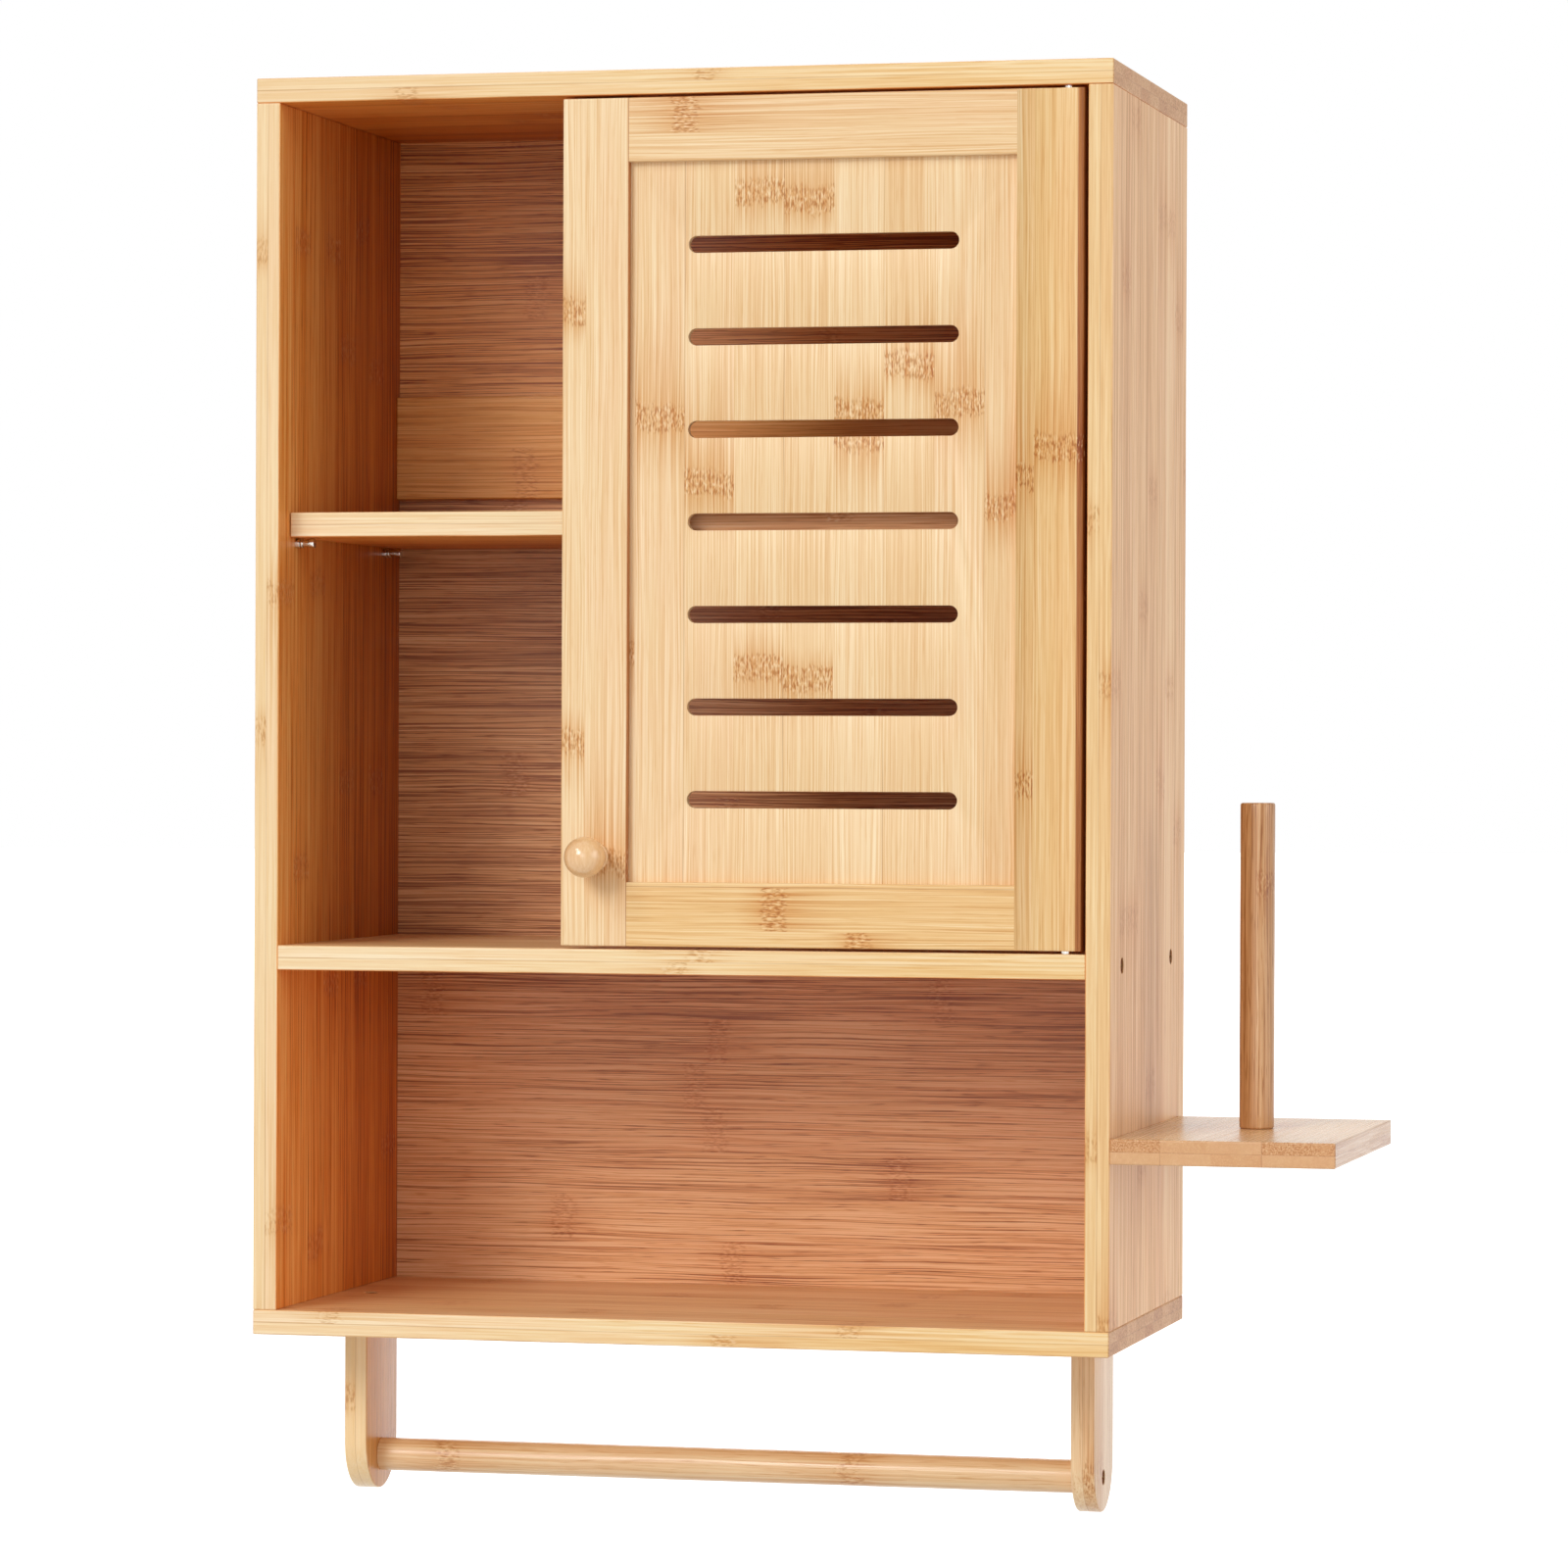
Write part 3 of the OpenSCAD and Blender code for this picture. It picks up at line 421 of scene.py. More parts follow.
def bamboo(title, node, grain, across, palette, look, *, strip=25.0, joint=None, plies=2, marks=(),
           tones=(), faces=(), seed=0, tone=0.0, far=None):
    """Strip bamboo for one board. Joint, marks and tones are places in the frame in mm: one glue line
    across the board, the nodes that the photograph shows, and strips with a tone that it shows, given
    as (x, y, z, tone). Faces lists (axis, end, palette, reach in mm). Far is the palette that the board
    turns to along its grain, and the millimetres from its low end where that starts and ends."""
    board = board_rows(node, grain, across, strip, joint, plies, marks, tones)
    span, count, ply = board["size"][grain], board["count"], board["ply"]
    material, tree = empty_material(title)
    along, side, deep = board_place(tree, board["low"], grain, across, board["depth"])
    strip_place = add(tree, "Math", {0: side, 1: 1 / strip, 2: -board["first"] / strip},
                      operation="MULTIPLY_ADD")
    number = add(tree, "Math", {0: strip_place}, operation="FLOOR")
    upper = add(tree, "Math", {0: deep, 1: ply}, operation="GREATER_THAN")
    row = add(tree, "Math", {0: upper, 1: float(count), 2: number}, operation="MULTIPLY_ADD")
    table = table_ramp(tree, row, strip_table(count * plies, span, board["known"], board["shown"], seed))

    # Each strip reads its own stretch of the noise, and its fibres drift a little sideways
    jump = add(tree, "Math", {0: row, 1: STRIP_JUMP, 2: along}, operation="MULTIPLY_ADD")
    straight = add(tree, "CombineXYZ", {0: jump, 1: side, 2: deep})
    drift = pattern(tree, straight, (110, 14, 14), 3.0)
    drift = add(tree, "Math", {0: drift, 1: 4 * look["wave"], 2: -2 * look["wave"]}, operation="MULTIPLY_ADD")
    drift = add(tree, "Math", {0: side, 1: drift}, operation="ADD")
    place = add(tree, "CombineXYZ", {0: jump, 1: drift, 2: deep})
    cloud = pattern(tree, place, (90, 18, 18), 97.0)

    level, fine, pores = fibre_tone(tree, place, look, table.outputs["Alpha"])
    level = add(tree, "Math", {0: level, 1: tone}, operation="ADD")
    colour = palette_ramp(tree, level, palette)
    if far:
        far_palette, from_mm, to_mm = far
        to_far = add(tree, "MapRange", {0: along, 1: from_mm, 2: to_mm})
        far_colour = palette_ramp(tree, level, far_palette)
        colour = add(tree, "Mix", {0: to_far, 6: colour, 7: far_colour}, data_type="RGBA")
    places = {grain: along, across: side, board["depth"]: deep}
    colour = over_faces(tree, colour, level, places, board["size"], faces)

    # Each strip has a number of its own, for its pink and for the length of its flames
    own = add(tree, "Math", {0: row, 1: seed + 0.5}, operation="ADD")
    dice = add(tree, "TexWhiteNoise", {"W": own}, noise_dimensions="1D")
    rosy = add(tree, "MapRange", {0: cloud, 1: 0.35, 2: 0.65, 4: 0.7})
    rosy = add(tree, "Math", {0: rosy, 1: dice.outputs["Value"]}, operation="MULTIPLY")
    colour = add(tree, "Mix", {0: rosy, 6: colour, 7: ROSY}, data_type="RGBA", blend_type="MULTIPLY")

    nearest = to_nearest_node(tree, along, place, table.outputs["Color"], span)
    dark, pale, flame = node_scars(tree, nearest, place, fine, dice)
    colour = over_scars(tree, colour, dark, pale, flame, palette, look["scar"])
    glue = glue_lines(tree, strip_place, strip, deep, ply, cloud)
    colour = add(tree, "Mix", {0: glue, 6: colour, 7: GLUE_TINT}, data_type="RGBA", blend_type="MULTIPLY")
    lacquered(tree, colour, fine, pores, dark, look)
    nodes[node].data.materials.clear()
    nodes[node].data.materials.append(material)
    print(f"{title}: {count * plies} rows of {strip:g} mm strips, {len(marks)} known nodes")


# %% [markdown]
# ## The case
# Top and bottom lie over the sides, so their strips run from left to right and
# their front edges show two plies with a glue line between them. The sides have
# upright strips. Outside, the broad faces are a little deeper than the edges.

# %% What the boards share
# A face is given as (axis, end, palette, how deep that palette reaches in mm)
SKIN_DEEP = 0.1
ENDS = (("X", "+", END, SKIN_DEEP), ("X", "-", END, SKIN_DEEP))
TOP_SIDE = ("Z", "+", SIDE, SKIN_DEEP)
TOP_FACE_SHADE = ("Z", "+", UPWARD_INSIDE_SHADE, SKIN_DEEP)
UNDER_SIDE = ("Z", "-", SIDE, SKIN_DEEP)
UNDER_INSIDE_SHADE = ("Z", "-", INSIDE_SHADE, SKIN_DEEP)
# The far ends of boards, with the mm from the low end where they start and end to turn. Both are painted
# shade: the right ends lie away from the light, and the loose shelf's end lies behind the door.
SHADED_RIGHT_END = (RIGHT_END_SHADE, 44, 350)
SHADED_BEHIND_DOOR = (BEHIND_DOOR_SHADE, 150, 225)
# A node that is marked here lies off the board, so its strip shows none
NOWHERE = 800
CASE, DOOR_WORK = "Bamboo, two-ply, planed and lacquered: ", "Bamboo, planed and lacquered: "
print("a face's own palette reaches", SKIN_DEEP, "mm deep")

# %% Top and bottom
bamboo(CASE + "top panel", "top_panel", "X", "Y", EDGE, BROAD,
       seed=3, tone=0.08, far=SHADED_RIGHT_END, faces=(UNDER_INSIDE_SHADE, *ENDS, TOP_SIDE),
       marks=((-167.6, -210, 172.5), (-145.9, -210, 168), (36.7, -210, 168), (158.6, -210, 174),
              (-131.7, -184.3, 165), (-113.8, -95.1, 165), (-143.8, -205.2, 165)))
bamboo(CASE + "bottom panel", "bottom_panel", "X", "Y", PALE, BROAD,
       seed=5, far=SHADED_RIGHT_END, faces=(TOP_FACE_SHADE, *ENDS, UNDER_SIDE),
       marks=((-97.5, -210, -448), (104.5, -210, -448), (19.7, -210, -455)),
       tones=((0, -205, -455, 0.0), (0, -205, -448, 0.75)))

# %% Sides
bamboo(CASE + "left side", "left_side", "Z", "Y", EDGE, BROAD,
       seed=7, tone=0.1, faces=(("X", "+", INSIDE_SHADE, SKIN_DEEP), ("X", "-", SIDE, SKIN_DEEP)),
       marks=((-212, -210, 116), (-216.3, -210, -144.9), (-211, -210, -314.8)),
       tones=((-217, -205, 0, 0.55), (-210, -205, 0, 0.7)))
bamboo(CASE + "right side", "right_side", "Z", "Y", AMBER, BROAD,
       seed=11, faces=(("X", "-", INSIDE_SHADE, SKIN_DEEP), ("X", "+", SIDE, SKIN_DEEP)),
       marks=((217.7, -210, -195.7), (213, -210, -229.3), (216.6, -210, -307.7), (213, -210, -334.1)))

# %% Shelves
bamboo(CASE + "fixed shelf", "fixed_shelf", "X", "Y", PALE, BROAD,
       seed=13, tone=0.05, far=SHADED_RIGHT_END, faces=(TOP_FACE_SHADE, UNDER_INSIDE_SHADE),
       marks=((-181.6, -210, -264.4), (119.4, -210, -264.8), (80.9, -210, -270)))
bamboo(CASE + "loose shelf", "loose_shelf", "X", "Y", PALE, BROAD,
       seed=17, tone=0.05, far=SHADED_BEHIND_DOOR, faces=(TOP_FACE_SHADE, UNDER_INSIDE_SHADE),
       marks=((77, -190, -43), (NOWHERE, -190, -52)))

# %% Back and rail
# Behind the shelves the lower back's strips are given deeper tones, which are
# painted shade, and the lowest strips of the open bay paler ones, painted light.
BACK_STRIP = 23.6
back_shade_and_light = [(0, 0, -34 - BACK_STRIP * i, 0.05 + 0.12 * (i % 3)) for i in range(10)]
back_shade_and_light += [(0, 0, -434, 0.95), (0, 0, -410, 0.95), (0, 0, -387, 0.75)]
bamboo("Bamboo, steamed strips, lacquered: upper back panel", "upper_back_panel", "X", "Z", UPPER,
       STEAMED, strip=23.0, plies=1, seed=19)
bamboo("Bamboo, steamed strips, lacquered: lower back panel", "lower_back_panel", "X", "Z", LOWER,
       STEAMED, strip=BACK_STRIP, joint=-399.0, plies=1, seed=23, tones=back_shade_and_light,
       marks=((-31.9, 0, -321.2), (-43.7, 0, -342.2), (-117.1, 0, -413.2), (-22.3, 0, -434.5),
              (68.1, 0, -375.5)))
bamboo("Bamboo, two-ply, lightly steamed: hanging rail", "hanging_rail", "X", "Z", RAIL, STEAMED,
       strip=27.5, joint=0.0, seed=29)


# %% [markdown]
# ## The door
# The panel is the showpiece, so its strips and node scars sit where the
# photograph has them. Stiles run upright and rails lie across, each one or two
# strips wide. The edges beside the panel and the hinge are darkened with painted
# shade, deepest on the hinge stile's rounded heel in the gap.

# %% Panel
bamboo(DOOR_WORK + "door panel", "door_slotted_panel", "Z", "X", DOOR, PLANED,
       strip=25.4, joint=3.0, plies=1, seed=31,
       marks=((45.9, 0, 113.1), (68.4, 0, 108.8), (116.9, 0, 26.3), (93.7, 0, 4), (93.7, 0, -4),
              (-12.4, 0, 2), (17.9, 0, -30.9), (140.7, 0, 7.7), (163, 0, -43), (44.3, 0, -119.1),
              (66.9, 0, -124.9)))

# %% Stiles
bamboo(DOOR_WORK + "left stile", "door_left_stile", "Z", "X", DOOR, PLANED,
       joint=-47.0, plies=1, seed=37, tone=0.05, faces=(("X", "+", STILE_EDGE_SHADE, SKIN_DEEP),),
       marks=((-53.4, 0, 54.9), (-53.7, 0, -156.8), (-28.6, 0, -220)),
       tones=((-53, 0, 0, 0.6), (-35, 0, 0, 0.5)))
bamboo(DOOR_WORK + "right stile", "door_right_stile", "Z", "X", WARM, PLANED,
       joint=180.9, plies=1, seed=41, faces=(("X", "+", STILE_EDGE_SHADE, 3.4), ("X", "+", HEEL_GAP_SHADE, 0.5)),
       marks=((193.2, 0, -14.7), (177.1, 0, -28.9), (176.8, 0, -177.7)))

# %% Rails
bamboo(DOOR_WORK + "door top rail", "door_top_rail", "X", "Z", DOOR, PLANED,
       strip=22.0, joint=145.0, plies=1, seed=43, tone=-0.08,
       marks=((1.8, 0, 152.4), (NOWHERE, 0, 140)))
bamboo(DOOR_WORK + "door bottom rail", "door_bottom_rail", "X", "Z", WARM, PLANED,
       strip=21.9, joint=-251.5, plies=1, seed=47, tone=0.05,
       marks=((48.4, 0, -239), (89.3, 0, -256.5)))


# %% [markdown]
# ## The fittings
# Brackets, rods and knob are sanded and oiled, which leaves them softer to the eye
# than the planed boards. The rod and the knob are turned from one strip each, so
# their glue lines are put outside them.

# %% Brackets and holder board
FITTING, TURNING = "Bamboo, two-ply, sanded and oiled: ", "Bamboo, turned and oiled: "
bamboo(FITTING + "left towel bracket", "left_towel_bracket", "Z", "Y", EDGE, SANDED, seed=53,
       faces=(("X", "+", BRACKET_SHADE, SKIN_DEEP),), marks=((-195, -125, -500), (-188, -125, -NOWHERE)))
bamboo(FITTING + "right towel bracket", "right_towel_bracket", "Z", "Y", TURNED, SANDED, seed=59,
       marks=((196, -125, -528),),
       tones=((196, -125, -500, 0.1), (196, -100, -500, 0.2), (188, -125, -500, 0.9)))
bamboo(FITTING + "holder board", "holder_board", "Y", "X", TURNED, SATIN, seed=61,
       faces=(("Y", "-", GRAINY, SKIN_DEEP), ("X", "+", HOLDER_END, SKIN_DEEP)))

# %% Turned sticks and knob
bamboo(TURNING + "towel rod", "towel_rod", "X", "Z", TURNED, SANDED, strip=40.0, joint=-560.0,
       plies=1, seed=67, tone=-0.08, marks=((-150.3, 0, -529), (69.9, 0, -529)))
bamboo(TURNING + "holder dowel", "holder_dowel", "Z", "X", DOWEL, SANDED, strip=9.0, joint=276.0,
       plies=1, seed=71, tone=-0.1, marks=((280, 0, -229), (270, 0, -NOWHERE)))
bamboo(TURNING + "knob", "door_knob", "Z", "X", KNOB, POLISHED, strip=40.0, joint=-60.0,
       plies=1, seed=73, marks=((-42, 0, -NOWHERE),))
bamboo("Bamboo, turned and left dry: rail dowels", "rail_dowels", "X", "Z", TURNED, SANDED,
       strip=40.0, joint=-40.0, plies=1, seed=79, marks=((0, 0, 0),))


# %% [markdown]
# ## Metal and plastic
# The studs and pins are nickel-plated, so they are bright and nearly smooth. The
# screws are zinc-plated; their dark bronze colour and brown edge tint are partly
# painted shade, so they stay dark at a flat angle. The bushes are nylon and the
# catch is moulded plastic with a fine eroded grain, around a dark ferrite magnet.

# %% A plain finish
def plain_finish(name, colour, metallic, roughness, grain_mm, relief_mm, ior=None, edge=None):
    """A finish of one colour whose roughness and relief follow a fine grain of a real size. Edge is
    the tint that a metal takes where it is seen at a flat angle."""
    material, tree = empty_material(name)
    coordinates = add(tree, "TexCoord").outputs["Object"]
    grain = add(tree, "TexNoise", {"Vector": coordinates, "Scale": 1 / (grain_mm * MM), "Detail": 2.0})
    rough = add(tree, "MapRange", {0: grain, 1: 0.3, 2: 0.7, 3: roughness * 0.75, 4: roughness * 1.3})
    bump = add(tree, "Bump", {"Height": grain, "Strength": 0.3, "Distance": relief_mm * MM})
    shader = add(tree, "BsdfPrincipled", {"Base Color": linear(colour), "Metallic": metallic,
                                          "Roughness": rough, "Normal": bump})
    if ior:
        shader.inputs["IOR"].default_value = ior
    if edge:
        shader.inputs["Specular Tint"].default_value = linear(edge)
    add(tree, "OutputMaterial", {"Surface": shader})
    return material


# %% Metals and plastics
nickel = plain_finish("Nickel plate on turned steel", "DAD6CE", 1.0, 0.14, 1.5, 0.01)
# The screws' dark bronze colour and brown edge tint are partly painted shade
zinc = plain_finish("Zinc plate on steel screws, darkened with painted shade", "6E543A", 1.0, 0.20, 1.2, 0.02,
                    edge="A88262")
nylon = plain_finish("Nylon, moulded", "F0EFE9", 0.0, 0.42, 0.6, 0.02, 1.53)
abs_plastic = plain_finish("ABS, moulded with a fine grain", "6B4A33", 0.0, 0.38, 0.5, 0.03, 1.54)
ferrite = plain_finish("Ferrite, pressed and sintered", "3A3A3C", 0.0, 0.62, 0.4, 0.03, 2.2)

for finish, names in (
        (nickel, ("shelf_studs", "upper_pivot_pin", "lower_pivot_pin")),
        (zinc, ("strike_plate", "catch_pole_plates", *(name for name in nodes if "screw" in name))),
        (nylon, ("upper_pivot_bush", "lower_pivot_bush")),
        (abs_plastic, ("catch_housing",)), (ferrite, ("catch_magnet",))):
    for name in names:
        nodes[name].data.materials.clear()
        nodes[name].data.materials.append(finish)
    print(finish.name, "on", len(names), "nodes")


# %% [markdown]
# ## Turned pieces
# A lathe makes a shape by holding a profile against a spinning blank. The spin
# operator does the same: it turns a chain of edges about an axis. The profile is
# given as radius and height in millimetres, and round stretches come from arcs.

# %% Lathe
TURN_STEPS = 64
UP = {"+X": (0, 90), "-X": (0, -90), "+Y": (-90, 0), "-Y": (90, 0), "+Z": (0, 0), "-Z": (180, 0)}


def arc(centre, radius, start, end, steps=10):
    """Profile points on an arc round (radius, height), from one angle to another in degrees."""
    turns = [math.radians(start + (end - start) * i / steps) for i in range(steps + 1)]
    return [(centre[0] + radius * math.cos(t), centre[1] + radius * math.sin(t)) for t in turns]


def placed(facing, place):
    """A matrix that turns +Z to the named direction and moves the origin to a place in metres."""
    about_x, about_y = UP[facing]
    turn = Matrix.Rotation(math.radians(about_y), 4, "Y") @ Matrix.Rotation(math.radians(about_x), 4, "X")
    return Matrix.Translation(place) @ turn


# %% Spinning a profile
def turned(target, profile, facing, place, steps=TURN_STEPS):
    """Spins a profile about its axis and adds the closed shape to the target mesh."""
    blank = bmesh.new()
    chain = [blank.verts.new((r * MM, 0, h * MM)) for r, h in profile]
    edges = [blank.edges.new(pair) for pair in zip(chain, chain[1:])]
    bmesh.ops.spin(blank, geom=chain + edges, cent=(0, 0, 0), axis=(0, 0, 1), dvec=(0, 0, 0),
                   angle=math.tau, steps=steps, use_merge=True)
    bmesh.ops.remove_doubles(blank, verts=blank.verts, dist=0.002 * MM)
    bmesh.ops.recalc_face_normals(blank, faces=blank.faces)
    append(target, blank, placed(facing, place))


def append(target, part, matrix):
    """Moves a finished part into place and adds it to the target mesh."""
    bmesh.ops.transform(part, matrix=matrix, verts=part.verts)
    carrier = bpy.data.meshes.new("carrier")
    part.to_mesh(carrier)
    part.free()
    target.from_mesh(carrier)
    bpy.data.meshes.remove(carrier)


# %% Standing for a CAD node
def finished(name, mesh_in_work, material, body, node, sharp=35):
    """Makes the object, shades it smooth up to an angle, and lets it stand for its CAD node."""
    mesh = bpy.data.meshes.new(name)
    mesh_in_work.to_mesh(mesh)
    mesh_in_work.free()
    mesh.polygons.foreach_set("use_smooth", [True] * len(mesh.polygons))
    mesh.set_sharp_from_angle(angle=math.radians(sharp))
    mesh.materials.append(material)
    piece = bpy.data.objects.new(name, mesh)
    bpy.context.scene.collection.objects.link(piece)
    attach(piece, body)
    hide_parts(node)
    print(f"{name}: {len(mesh.polygons)} faces, stands for {node}")


# %% Knob
def material_of(node):
    """The material that a CAD node carries."""
    return nodes[node].data.materials[0]


# In mm: the foot on the door, the neck over it, and the cove between the two
foot_r, foot_t, neck_r, cove_r = 8.0, 3.0, 5.5, 1.6
knob_low, knob_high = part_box("door_knob")
knob_axis = Vector(((knob_low.x + knob_high.x) / 2, knob_high.y, (knob_low.z + knob_high.z) / 2))
ball_r = (knob_high.x - knob_low.x) / 2 / MM
ball_reach = (knob_high.y - knob_low.y) / MM - ball_r
join = math.degrees(math.asin((neck_r + 0.4) / ball_r))
knob_profile = [(0, 0), (foot_r - 0.3, 0), *arc((foot_r - 0.9, foot_t - 0.9), 0.9, 0, 90, 6),
                *arc((neck_r + cove_r, foot_t + cove_r), cove_r, -90, -180, 8),
                *arc((0, ball_reach), ball_r, join - 90, 90, 28)]
knob = bmesh.new()
turned(knob, knob_profile, "-Y", knob_axis)
finished("turned_knob", knob, material_of("door_knob"), "door", "door_knob", 50)

# %% Shelf studs
stud_low, stud_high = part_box("shelf_studs")
stud_r = (stud_high.z - stud_low.z) / 2 / MM
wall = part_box("left_side")[1].x
studs = bmesh.new()
stud_seat = (wall - stud_low.x) / MM
stud_reach = 10.0
groove_r = stud_r * 0.7
# A collar at the wall, two grooves with a bead between them, and a head with a round rim
stud_profile = [(0, -stud_seat), (stud_r, -stud_seat), (stud_r, 2.1),
                *arc((stud_r - 0.2, 2.1), 0.2, 0, 90, 4), (groove_r, 2.5), (groove_r, 2.9),
                *arc((stud_r - 0.4, 3.4), 0.4, -90, 90, 8), (groove_r, 4.0), (groove_r, 6.6),
                (stud_r - 0.25, 7.2), (stud_r, 7.5),
                *arc((stud_r - 0.45, stud_reach - 0.45), 0.45, 0, 90, 6), (0, stud_reach)]
for facing, x in (("+X", wall), ("-X", -wall)):
    for y in (stud_low.y + stud_r * MM, stud_high.y - stud_r * MM):
        turned(studs, stud_profile, facing, (x, y, (stud_low.z + stud_high.z) / 2), 40)
finished("turned_shelf_studs", studs, nickel, "cabinet", "shelf_studs")


# %% [markdown]
# ## Rods and dowels
# The towel rod and the upright dowel are plain turned sticks. Their edges are
# broken with sandpaper, and a rod is never quite straight-sided: it swells and
# shrinks by a few hundredths, which breaks the highlight along it.

# %% Rod and dowel
STICK_RINGS = 24
WANDER = 0.03       # mm that a stick's radius wanders to either side


def stick(radius, length, edge, facing, place):
    """A sanded stick whose radius wanders by a few hundredths of a millimetre."""
    body = []
    for i in range(STICK_RINGS + 1):
        height = edge + (length - 2 * edge) * i / STICK_RINGS
        body.append((radius - WANDER - WANDER * math.sin(height * 0.11), height))
    mesh = bmesh.new()
    start = arc((radius - edge, edge), edge - WANDER, -90, 0, 5)
    end = arc((radius - edge, length - edge), edge - WANDER, 0, 90, 5)
    turned(mesh, [(0, start[0][1]), *start[:-1], *body, *end[1:], (0, end[-1][1])], facing, place)
    return mesh


for node, facing, across, edge in (("towel_rod", "+X", "Z", 0.25), ("holder_dowel", "+Z", "X", 1.2)):
    low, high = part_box(node)
    along, wide = AXES[facing[1]], AXES[across]
    place = (low + high) / 2
    place[along] = low[along]
    radius, length = (high[wide] - low[wide]) / 2 / MM, (high[along] - low[along]) / MM
    piece = stick(radius, length, edge, facing, place)
    finished("turned_" + node, piece, material_of(node), "cabinet", node)


# %% [markdown]
# ## Screws
# A cross-recess head is drawn from above: a round rim, a cross inside it, and the
# face between them filled. The cross is then pushed down and narrowed, as the
# forming punch does, and the rim is carried down over the cone to the shank.

# %% Screw maker
SUNK = 0.22     # mm that a head lies under the face, where its hole shows as a dark rim


def cross_screw(head_r, shank_r, length, dome=0.0):
    """A screw along -Z with its head's top just under z = 0, or with a rounded head standing on z = 0."""
    mesh = bmesh.new()
    # A quarter of the cross, turned four times
    half, arm = 0.15 * head_r, 0.62 * head_r
    quarter = [(arm, -half), (arm, half), (half, half)]
    corners = []
    for c, s in ((1, 0), (0, 1), (-1, 0), (0, -1)):
        corners += [(x * c - y * s, x * s + y * c) for x, y in quarter]
    top = (dome if dome else -SUNK) * MM
    cross = [mesh.verts.new((x * MM, y * MM, top)) for x, y in corners]
    cross_edges = [mesh.edges.new((a, b)) for a, b in zip(cross, cross[1:] + cross[:1])]
    rim_r = head_r * (0.80 if dome else 0.88)
    circle = bmesh.ops.create_circle(mesh, segments=36, radius=rim_r * MM, cap_ends=False,
                                     matrix=Matrix.Translation((0, 0, top)))["verts"]
    rim = list(dict.fromkeys(e for v in circle for e in v.link_edges))
    bmesh.ops.triangle_fill(mesh, edges=cross_edges + rim, use_beauty=True)
    # The recess narrows to a blunt point
    down = bmesh.ops.extrude_edge_only(mesh, edges=cross_edges)["geom"]
    low_edges = [g for g in down if isinstance(g, bmesh.types.BMEdge)]
    low_verts = [g for g in down if isinstance(g, bmesh.types.BMVert)]
    bmesh.ops.scale(mesh, vec=(0.4, 0.4, 1), verts=low_verts)
    bmesh.ops.translate(mesh, vec=(0, 0, -0.7 * head_r * MM), verts=low_verts)
    bmesh.ops.contextual_create(mesh, geom=low_edges)
    # Rim, cone, shank and point
    if dome:
        steps = [(head_r * 0.93, dome * 0.8), (head_r, dome * 0.35), (head_r, 0), (shank_r, 0)]
    else:
        edge_r, land = head_r * 0.95, -SUNK - 0.36
        steps = [(edge_r, -SUNK - 0.14), (edge_r, land), (shank_r, land - edge_r + shank_r)]
    steps += [(shank_r, -length + 2 * shank_r), (shank_r * 0.15, -length)]
    ring, current = rim, rim_r
    for radius, height in steps:
        grown = bmesh.ops.extrude_edge_only(mesh, edges=ring)["geom"]
        ring = [g for g in grown if isinstance(g, bmesh.types.BMEdge)]
        verts = [g for g in grown if isinstance(g, bmesh.types.BMVert)]
        bmesh.ops.scale(mesh, vec=(radius / current, radius / current, 1), verts=verts)
        for v in verts:
            v.co.z = height * MM
        current = radius
    bmesh.ops.contextual_create(mesh, geom=ring)
    bmesh.ops.recalc_face_normals(mesh, faces=mesh.faces)
    return mesh


# %% Screws of one node
def screws(name, node, body, places, head_r, shank_r, length, dome=0.0):
    """All the screws of one CAD node as one piece. Places are (facing, x, y, z) of the heads."""
    group = bmesh.new()
    for facing, *place in places:
        append(group, cross_screw(head_r, shank_r, length, dome), placed(facing, place))
    finished(name, group, zinc, body, node, 40)


def corners_of(node, head_r, facings):
    """Head places at the corners of a node's box, for heads that face out of it."""
    low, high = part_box(node)
    places = []
    for facing in facings:
        axis = AXES[facing[1]]
        spots = []
        for i in range(3):
            first, last = low[i] + head_r * MM, high[i] - head_r * MM
            if i == axis:
                spots.append([high[i] if facing[0] == "+" else low[i]])
            elif last - first < head_r * MM:
                spots.append([(first + last) / 2])
            else:
                spots.append([first, last])
        places += [(facing, x, y, z) for x in spots[0] for y in spots[1] for z in spots[2]]
    print(node, "has", len(places), "heads")
    return places


# %% Screws of the case
HEAD, SHANK = 4.0, 2.0      # radii in mm
for piece_name, node, facings, length in (
        ("top_panel_screw_set", "top_panel_screws", ["+Z"], 40),
        ("bottom_panel_screw_set", "bottom_panel_screws", ["-Z"], 40),
        ("fixed_shelf_screw_set", "fixed_shelf_screws", ["+X", "-X"], 40),
        ("towel_bracket_screw_set", "towel_bracket_screws", ["+Z"], 40),
        ("towel_rod_screw_set", "towel_rod_screws", ["+X", "-X"], 35),
        ("holder_board_screw_set", "holder_board_screws", ["-X"], 40),
        ("holder_dowel_fixing", "holder_dowel_screw", ["-Z"], 40)):
    screws(piece_name, node, "cabinet", corners_of(node, HEAD, facings), HEAD, SHANK, length)

# %% Screws of the catch and the knob
CATCH_SCREW = (2.75, 1.5, 9)    # radius of the head and the shank, and the length, in mm
for piece_name, node, body, facing in (("catch_screw_pair", "catch_screws", "cabinet", "-Z"),
                                       ("strike_plate_fixing", "strike_plate_screw", "door", "+Y")):
    screws(piece_name, node, body, corners_of(node, CATCH_SCREW[0], [facing]), *CATCH_SCREW)
knob_screw_low, knob_screw_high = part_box("knob_screw")
door_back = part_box("door_left_stile")[1].y
screws("knob_fixing", "knob_screw", "door", [("+Y", knob_axis.x, door_back, knob_axis.z)], 4.25, 2.0,
       (door_back - knob_screw_low.y) / MM, (knob_screw_high.y - door_back) / MM)


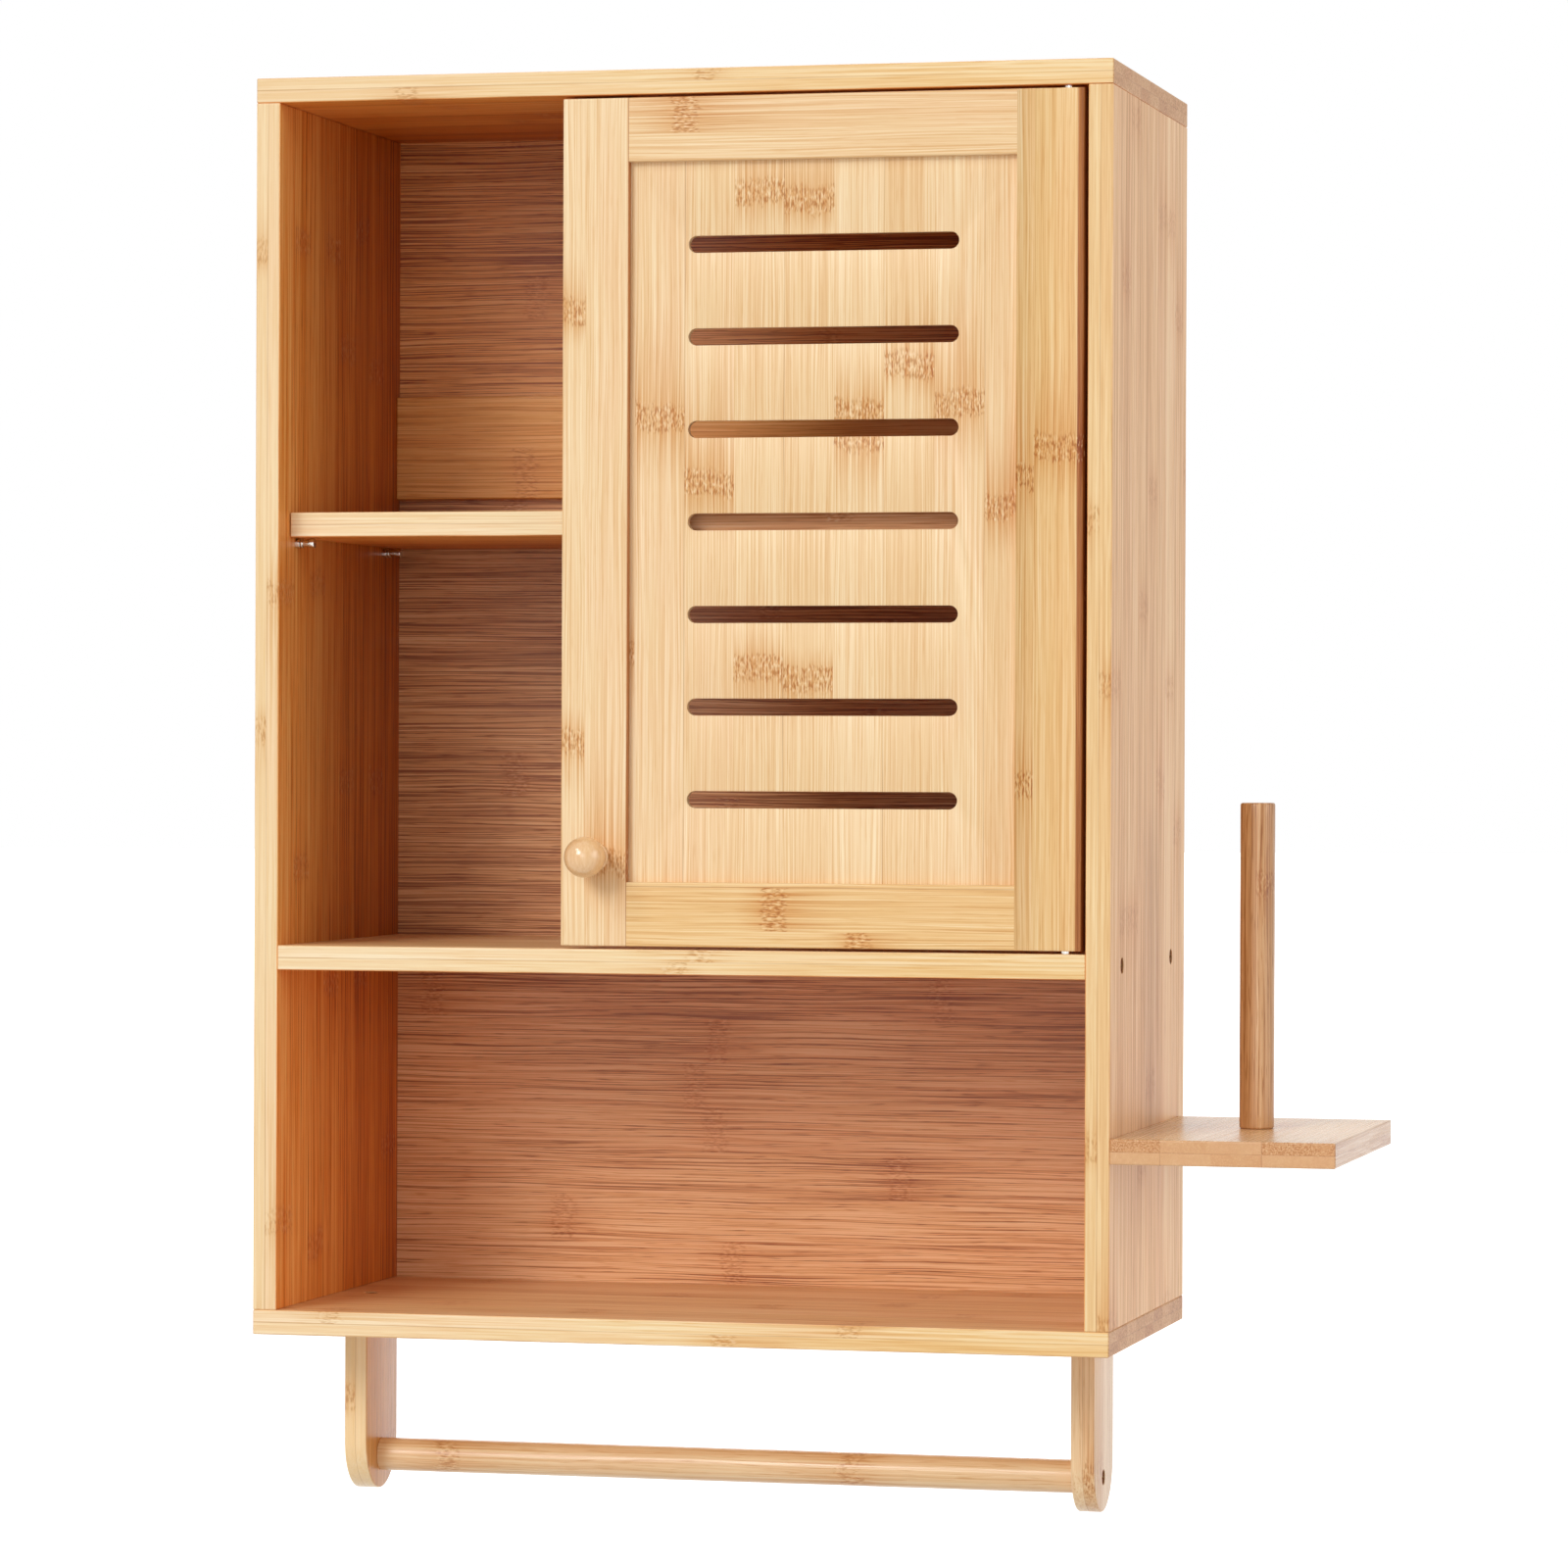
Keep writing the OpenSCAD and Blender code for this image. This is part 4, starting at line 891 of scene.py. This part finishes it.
# %% [markdown]
# ## Edges that a hand has sanded
# Some boards keep the sharp edge of the saw in the construction model, such as the
# rim of each slot and the outline of the brackets. A copy of each is merged, its
# flat faces are joined, and the edges that show are rounded with a small bevel.
# The right stile has its round heel already, so its copy is only shaded smooth.

# %% Sanded copies
def sanded_copy(name, node, body, radius, chosen):
    """A copy of a CAD node whose chosen sharp edges are rounded by a radius in millimetres."""
    mesh = bmesh.new()
    mesh.from_mesh(nodes[node].data)
    bmesh.ops.remove_doubles(mesh, verts=mesh.verts, dist=0.001 * MM)
    bmesh.ops.dissolve_limit(mesh, angle_limit=math.radians(0.5), verts=mesh.verts, edges=mesh.edges)
    edges = [e for e in mesh.edges if e.is_manifold and e.calc_face_angle() > math.radians(50)
             and chosen((e.verts[0].co + e.verts[1].co) / 2)]
    if edges:
        bmesh.ops.bevel(mesh, geom=edges, offset=radius * MM, offset_type="OFFSET", segments=3,
                        profile=0.5, affect="EDGES", clamp_overlap=True, material=-1)
    print(name, "rounds", len(edges), "edges")
    finished(name, mesh, material_of(node), body, node)


# %% Slots, brackets, stile and catch
panel_low, panel_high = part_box("door_slotted_panel")
slot_zone = 20 * MM
sanded_copy("slotted_panel", "door_slotted_panel", "door", 0.45,
            lambda p: panel_low.x + slot_zone < p.x < panel_high.x - slot_zone
            and panel_low.z + slot_zone < p.z < panel_high.z - slot_zone)
screw_low, screw_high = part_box("towel_rod_screws")
axis_y, axis_z = (screw_low.y + screw_high.y) / 2, (screw_low.z + screw_high.z) / 2
bracket_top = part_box("left_towel_bracket")[1].z
rod_seat = 9 * MM
for side in ("left", "right"):
    sanded_copy(f"{side}_bracket", f"{side}_towel_bracket", "cabinet", 0.9,
                lambda p: math.hypot(p.y - axis_y, p.z - axis_z) > rod_seat
                and p.z < bracket_top - 0.5 * MM)
sanded_copy("right_stile", "door_right_stile", "door", 0.3, lambda p: False)
sanded_copy("moulded_catch", "catch_housing", "cabinet", 0.5,
            lambda p: p.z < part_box("catch_housing")[1].z - 0.2 * MM)
sanded_copy("pressed_strike_plate", "strike_plate", "door", 0.3,
            lambda p: p.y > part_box("strike_plate")[1].y - 0.1 * MM)


# %% [markdown]
# ## Camera
# The camera stands where the photographer stood: three metres in front, a little
# to the right, at half the cabinet's height, with a long lens.

# %% Camera
CAMERA_PLACE = (0.75228, -3.06495, -0.16454)
CAMERA_YAW, CAMERA_PITCH, CAMERA_ROLL = 0.23932, -0.00468, 0.00376   # radians
lens_camera = bpy.data.cameras.new("camera")
lens_camera.sensor_width = 36.0
lens_camera.lens = 136.37
camera = bpy.data.objects.new("camera", lens_camera)
bpy.context.scene.collection.objects.link(camera)
camera.matrix_world = (Matrix.Translation(CAMERA_PLACE) @ Matrix.Rotation(CAMERA_YAW, 4, "Z")
                       @ Matrix.Rotation(math.pi / 2 + CAMERA_PITCH, 4, "X")
                       @ Matrix.Rotation(CAMERA_ROLL, 4, "Z"))
bpy.context.scene.camera = camera
print("lens", lens_camera.lens, "mm")


# %% [markdown]
# ## Studio
# One broad lamp shines from the upper left front, and a smaller one beside it, the
# window, gives the knob its spot of light. A weak lamp straight in front reaches
# into the case, a broad one on the right lights the outer side, and one from
# behind lifts the back. The white room is the world itself, which the camera and
# reflections see at full white, while it lights the object less.

# %% Lamps
def lamp(name, azimuth, elevation, strength, spread_deg):
    """A distant soft lamp. Azimuth 0 is straight in front and positive to the right."""
    light = bpy.data.lights.new(name, "SUN")
    light.energy = strength * math.pi
    light.angle = math.radians(spread_deg)
    item = bpy.data.objects.new(name, light)
    a, e = math.radians(azimuth), math.radians(elevation)
    towards = Vector((math.sin(a) * math.cos(e), -math.cos(a) * math.cos(e), math.sin(e)))
    item.rotation_mode = "QUATERNION"
    item.rotation_quaternion = towards.to_track_quat("Z", "Y")
    item.location = towards * 4
    bpy.context.scene.collection.objects.link(item)
    print(name, "at", azimuth, "and", elevation, "degrees")


for lamp_row in (("key lamp", -20, 26, 0.37, 20), ("window lamp", -38, 40, 0.13, 12),
                 ("front lamp", 4, 8, 0.13, 30), ("right lamp", 80, 9, 0.33, 45),
                 ("rear lamp", 205, 35, 0.23, 40)):
    lamp(*lamp_row)

# %% World
WORLD_LEVEL = 0.325
world = bpy.data.worlds.new("white room")
bpy.context.scene.world = world
world.use_nodes = True
world.node_tree.nodes.clear()
path = add(world.node_tree, "LightPath")


def seen_directly(tree, light_path):
    """1 for camera, glossy and transmission rays, and 0 for the rays that carry light."""
    ray = light_path.outputs
    first = add(tree, "Math", {0: ray["Is Camera Ray"], 1: ray["Is Glossy Ray"]}, operation="MAXIMUM")
    return add(tree, "Math", {0: first, 1: ray["Is Transmission Ray"]}, operation="MAXIMUM")


level = add(world.node_tree, "MapRange", {0: seen_directly(world.node_tree, path), 3: WORLD_LEVEL, 4: 1.0})
sky = add(world.node_tree, "Background", {"Color": (1, 1, 1, 1), "Strength": level})
add(world.node_tree, "OutputWorld", {"Surface": sky})
print("the room lights with", WORLD_LEVEL, "of its white")

# %% Floor
FLOOR_Z = -0.85
FLOOR_GLOW = 0.72       # seen but lighting nothing, so that the floor turns out white
floor_paint, tree = empty_material("Matt white studio floor")
path = add(tree, "LightPath")
glow = add(tree, "Math", {0: seen_directly(tree, path), 1: FLOOR_GLOW}, operation="MULTIPLY")
emission = add(tree, "Emission", {"Color": (1, 1, 1, 1), "Strength": glow})
matt = add(tree, "BsdfDiffuse", {"Color": linear("E6E6E6")})
both = add(tree, "AddShader", {0: matt, 1: emission})
add(tree, "OutputMaterial", {"Surface": both})
ground = bmesh.new()
bmesh.ops.create_circle(ground, segments=96, radius=40, cap_ends=True,
                        matrix=Matrix.Translation((0, 0, FLOOR_Z)))
floor_mesh = bpy.data.meshes.new("floor")
ground.to_mesh(floor_mesh)
ground.free()
floor_mesh.materials.append(floor_paint)
floor = bpy.data.objects.new("floor", floor_mesh)
bpy.context.scene.collection.objects.link(floor)
bpy.context.scene.view_settings.view_transform = "Standard"
print("floor", -FLOOR_Z, "m under the wall holes")
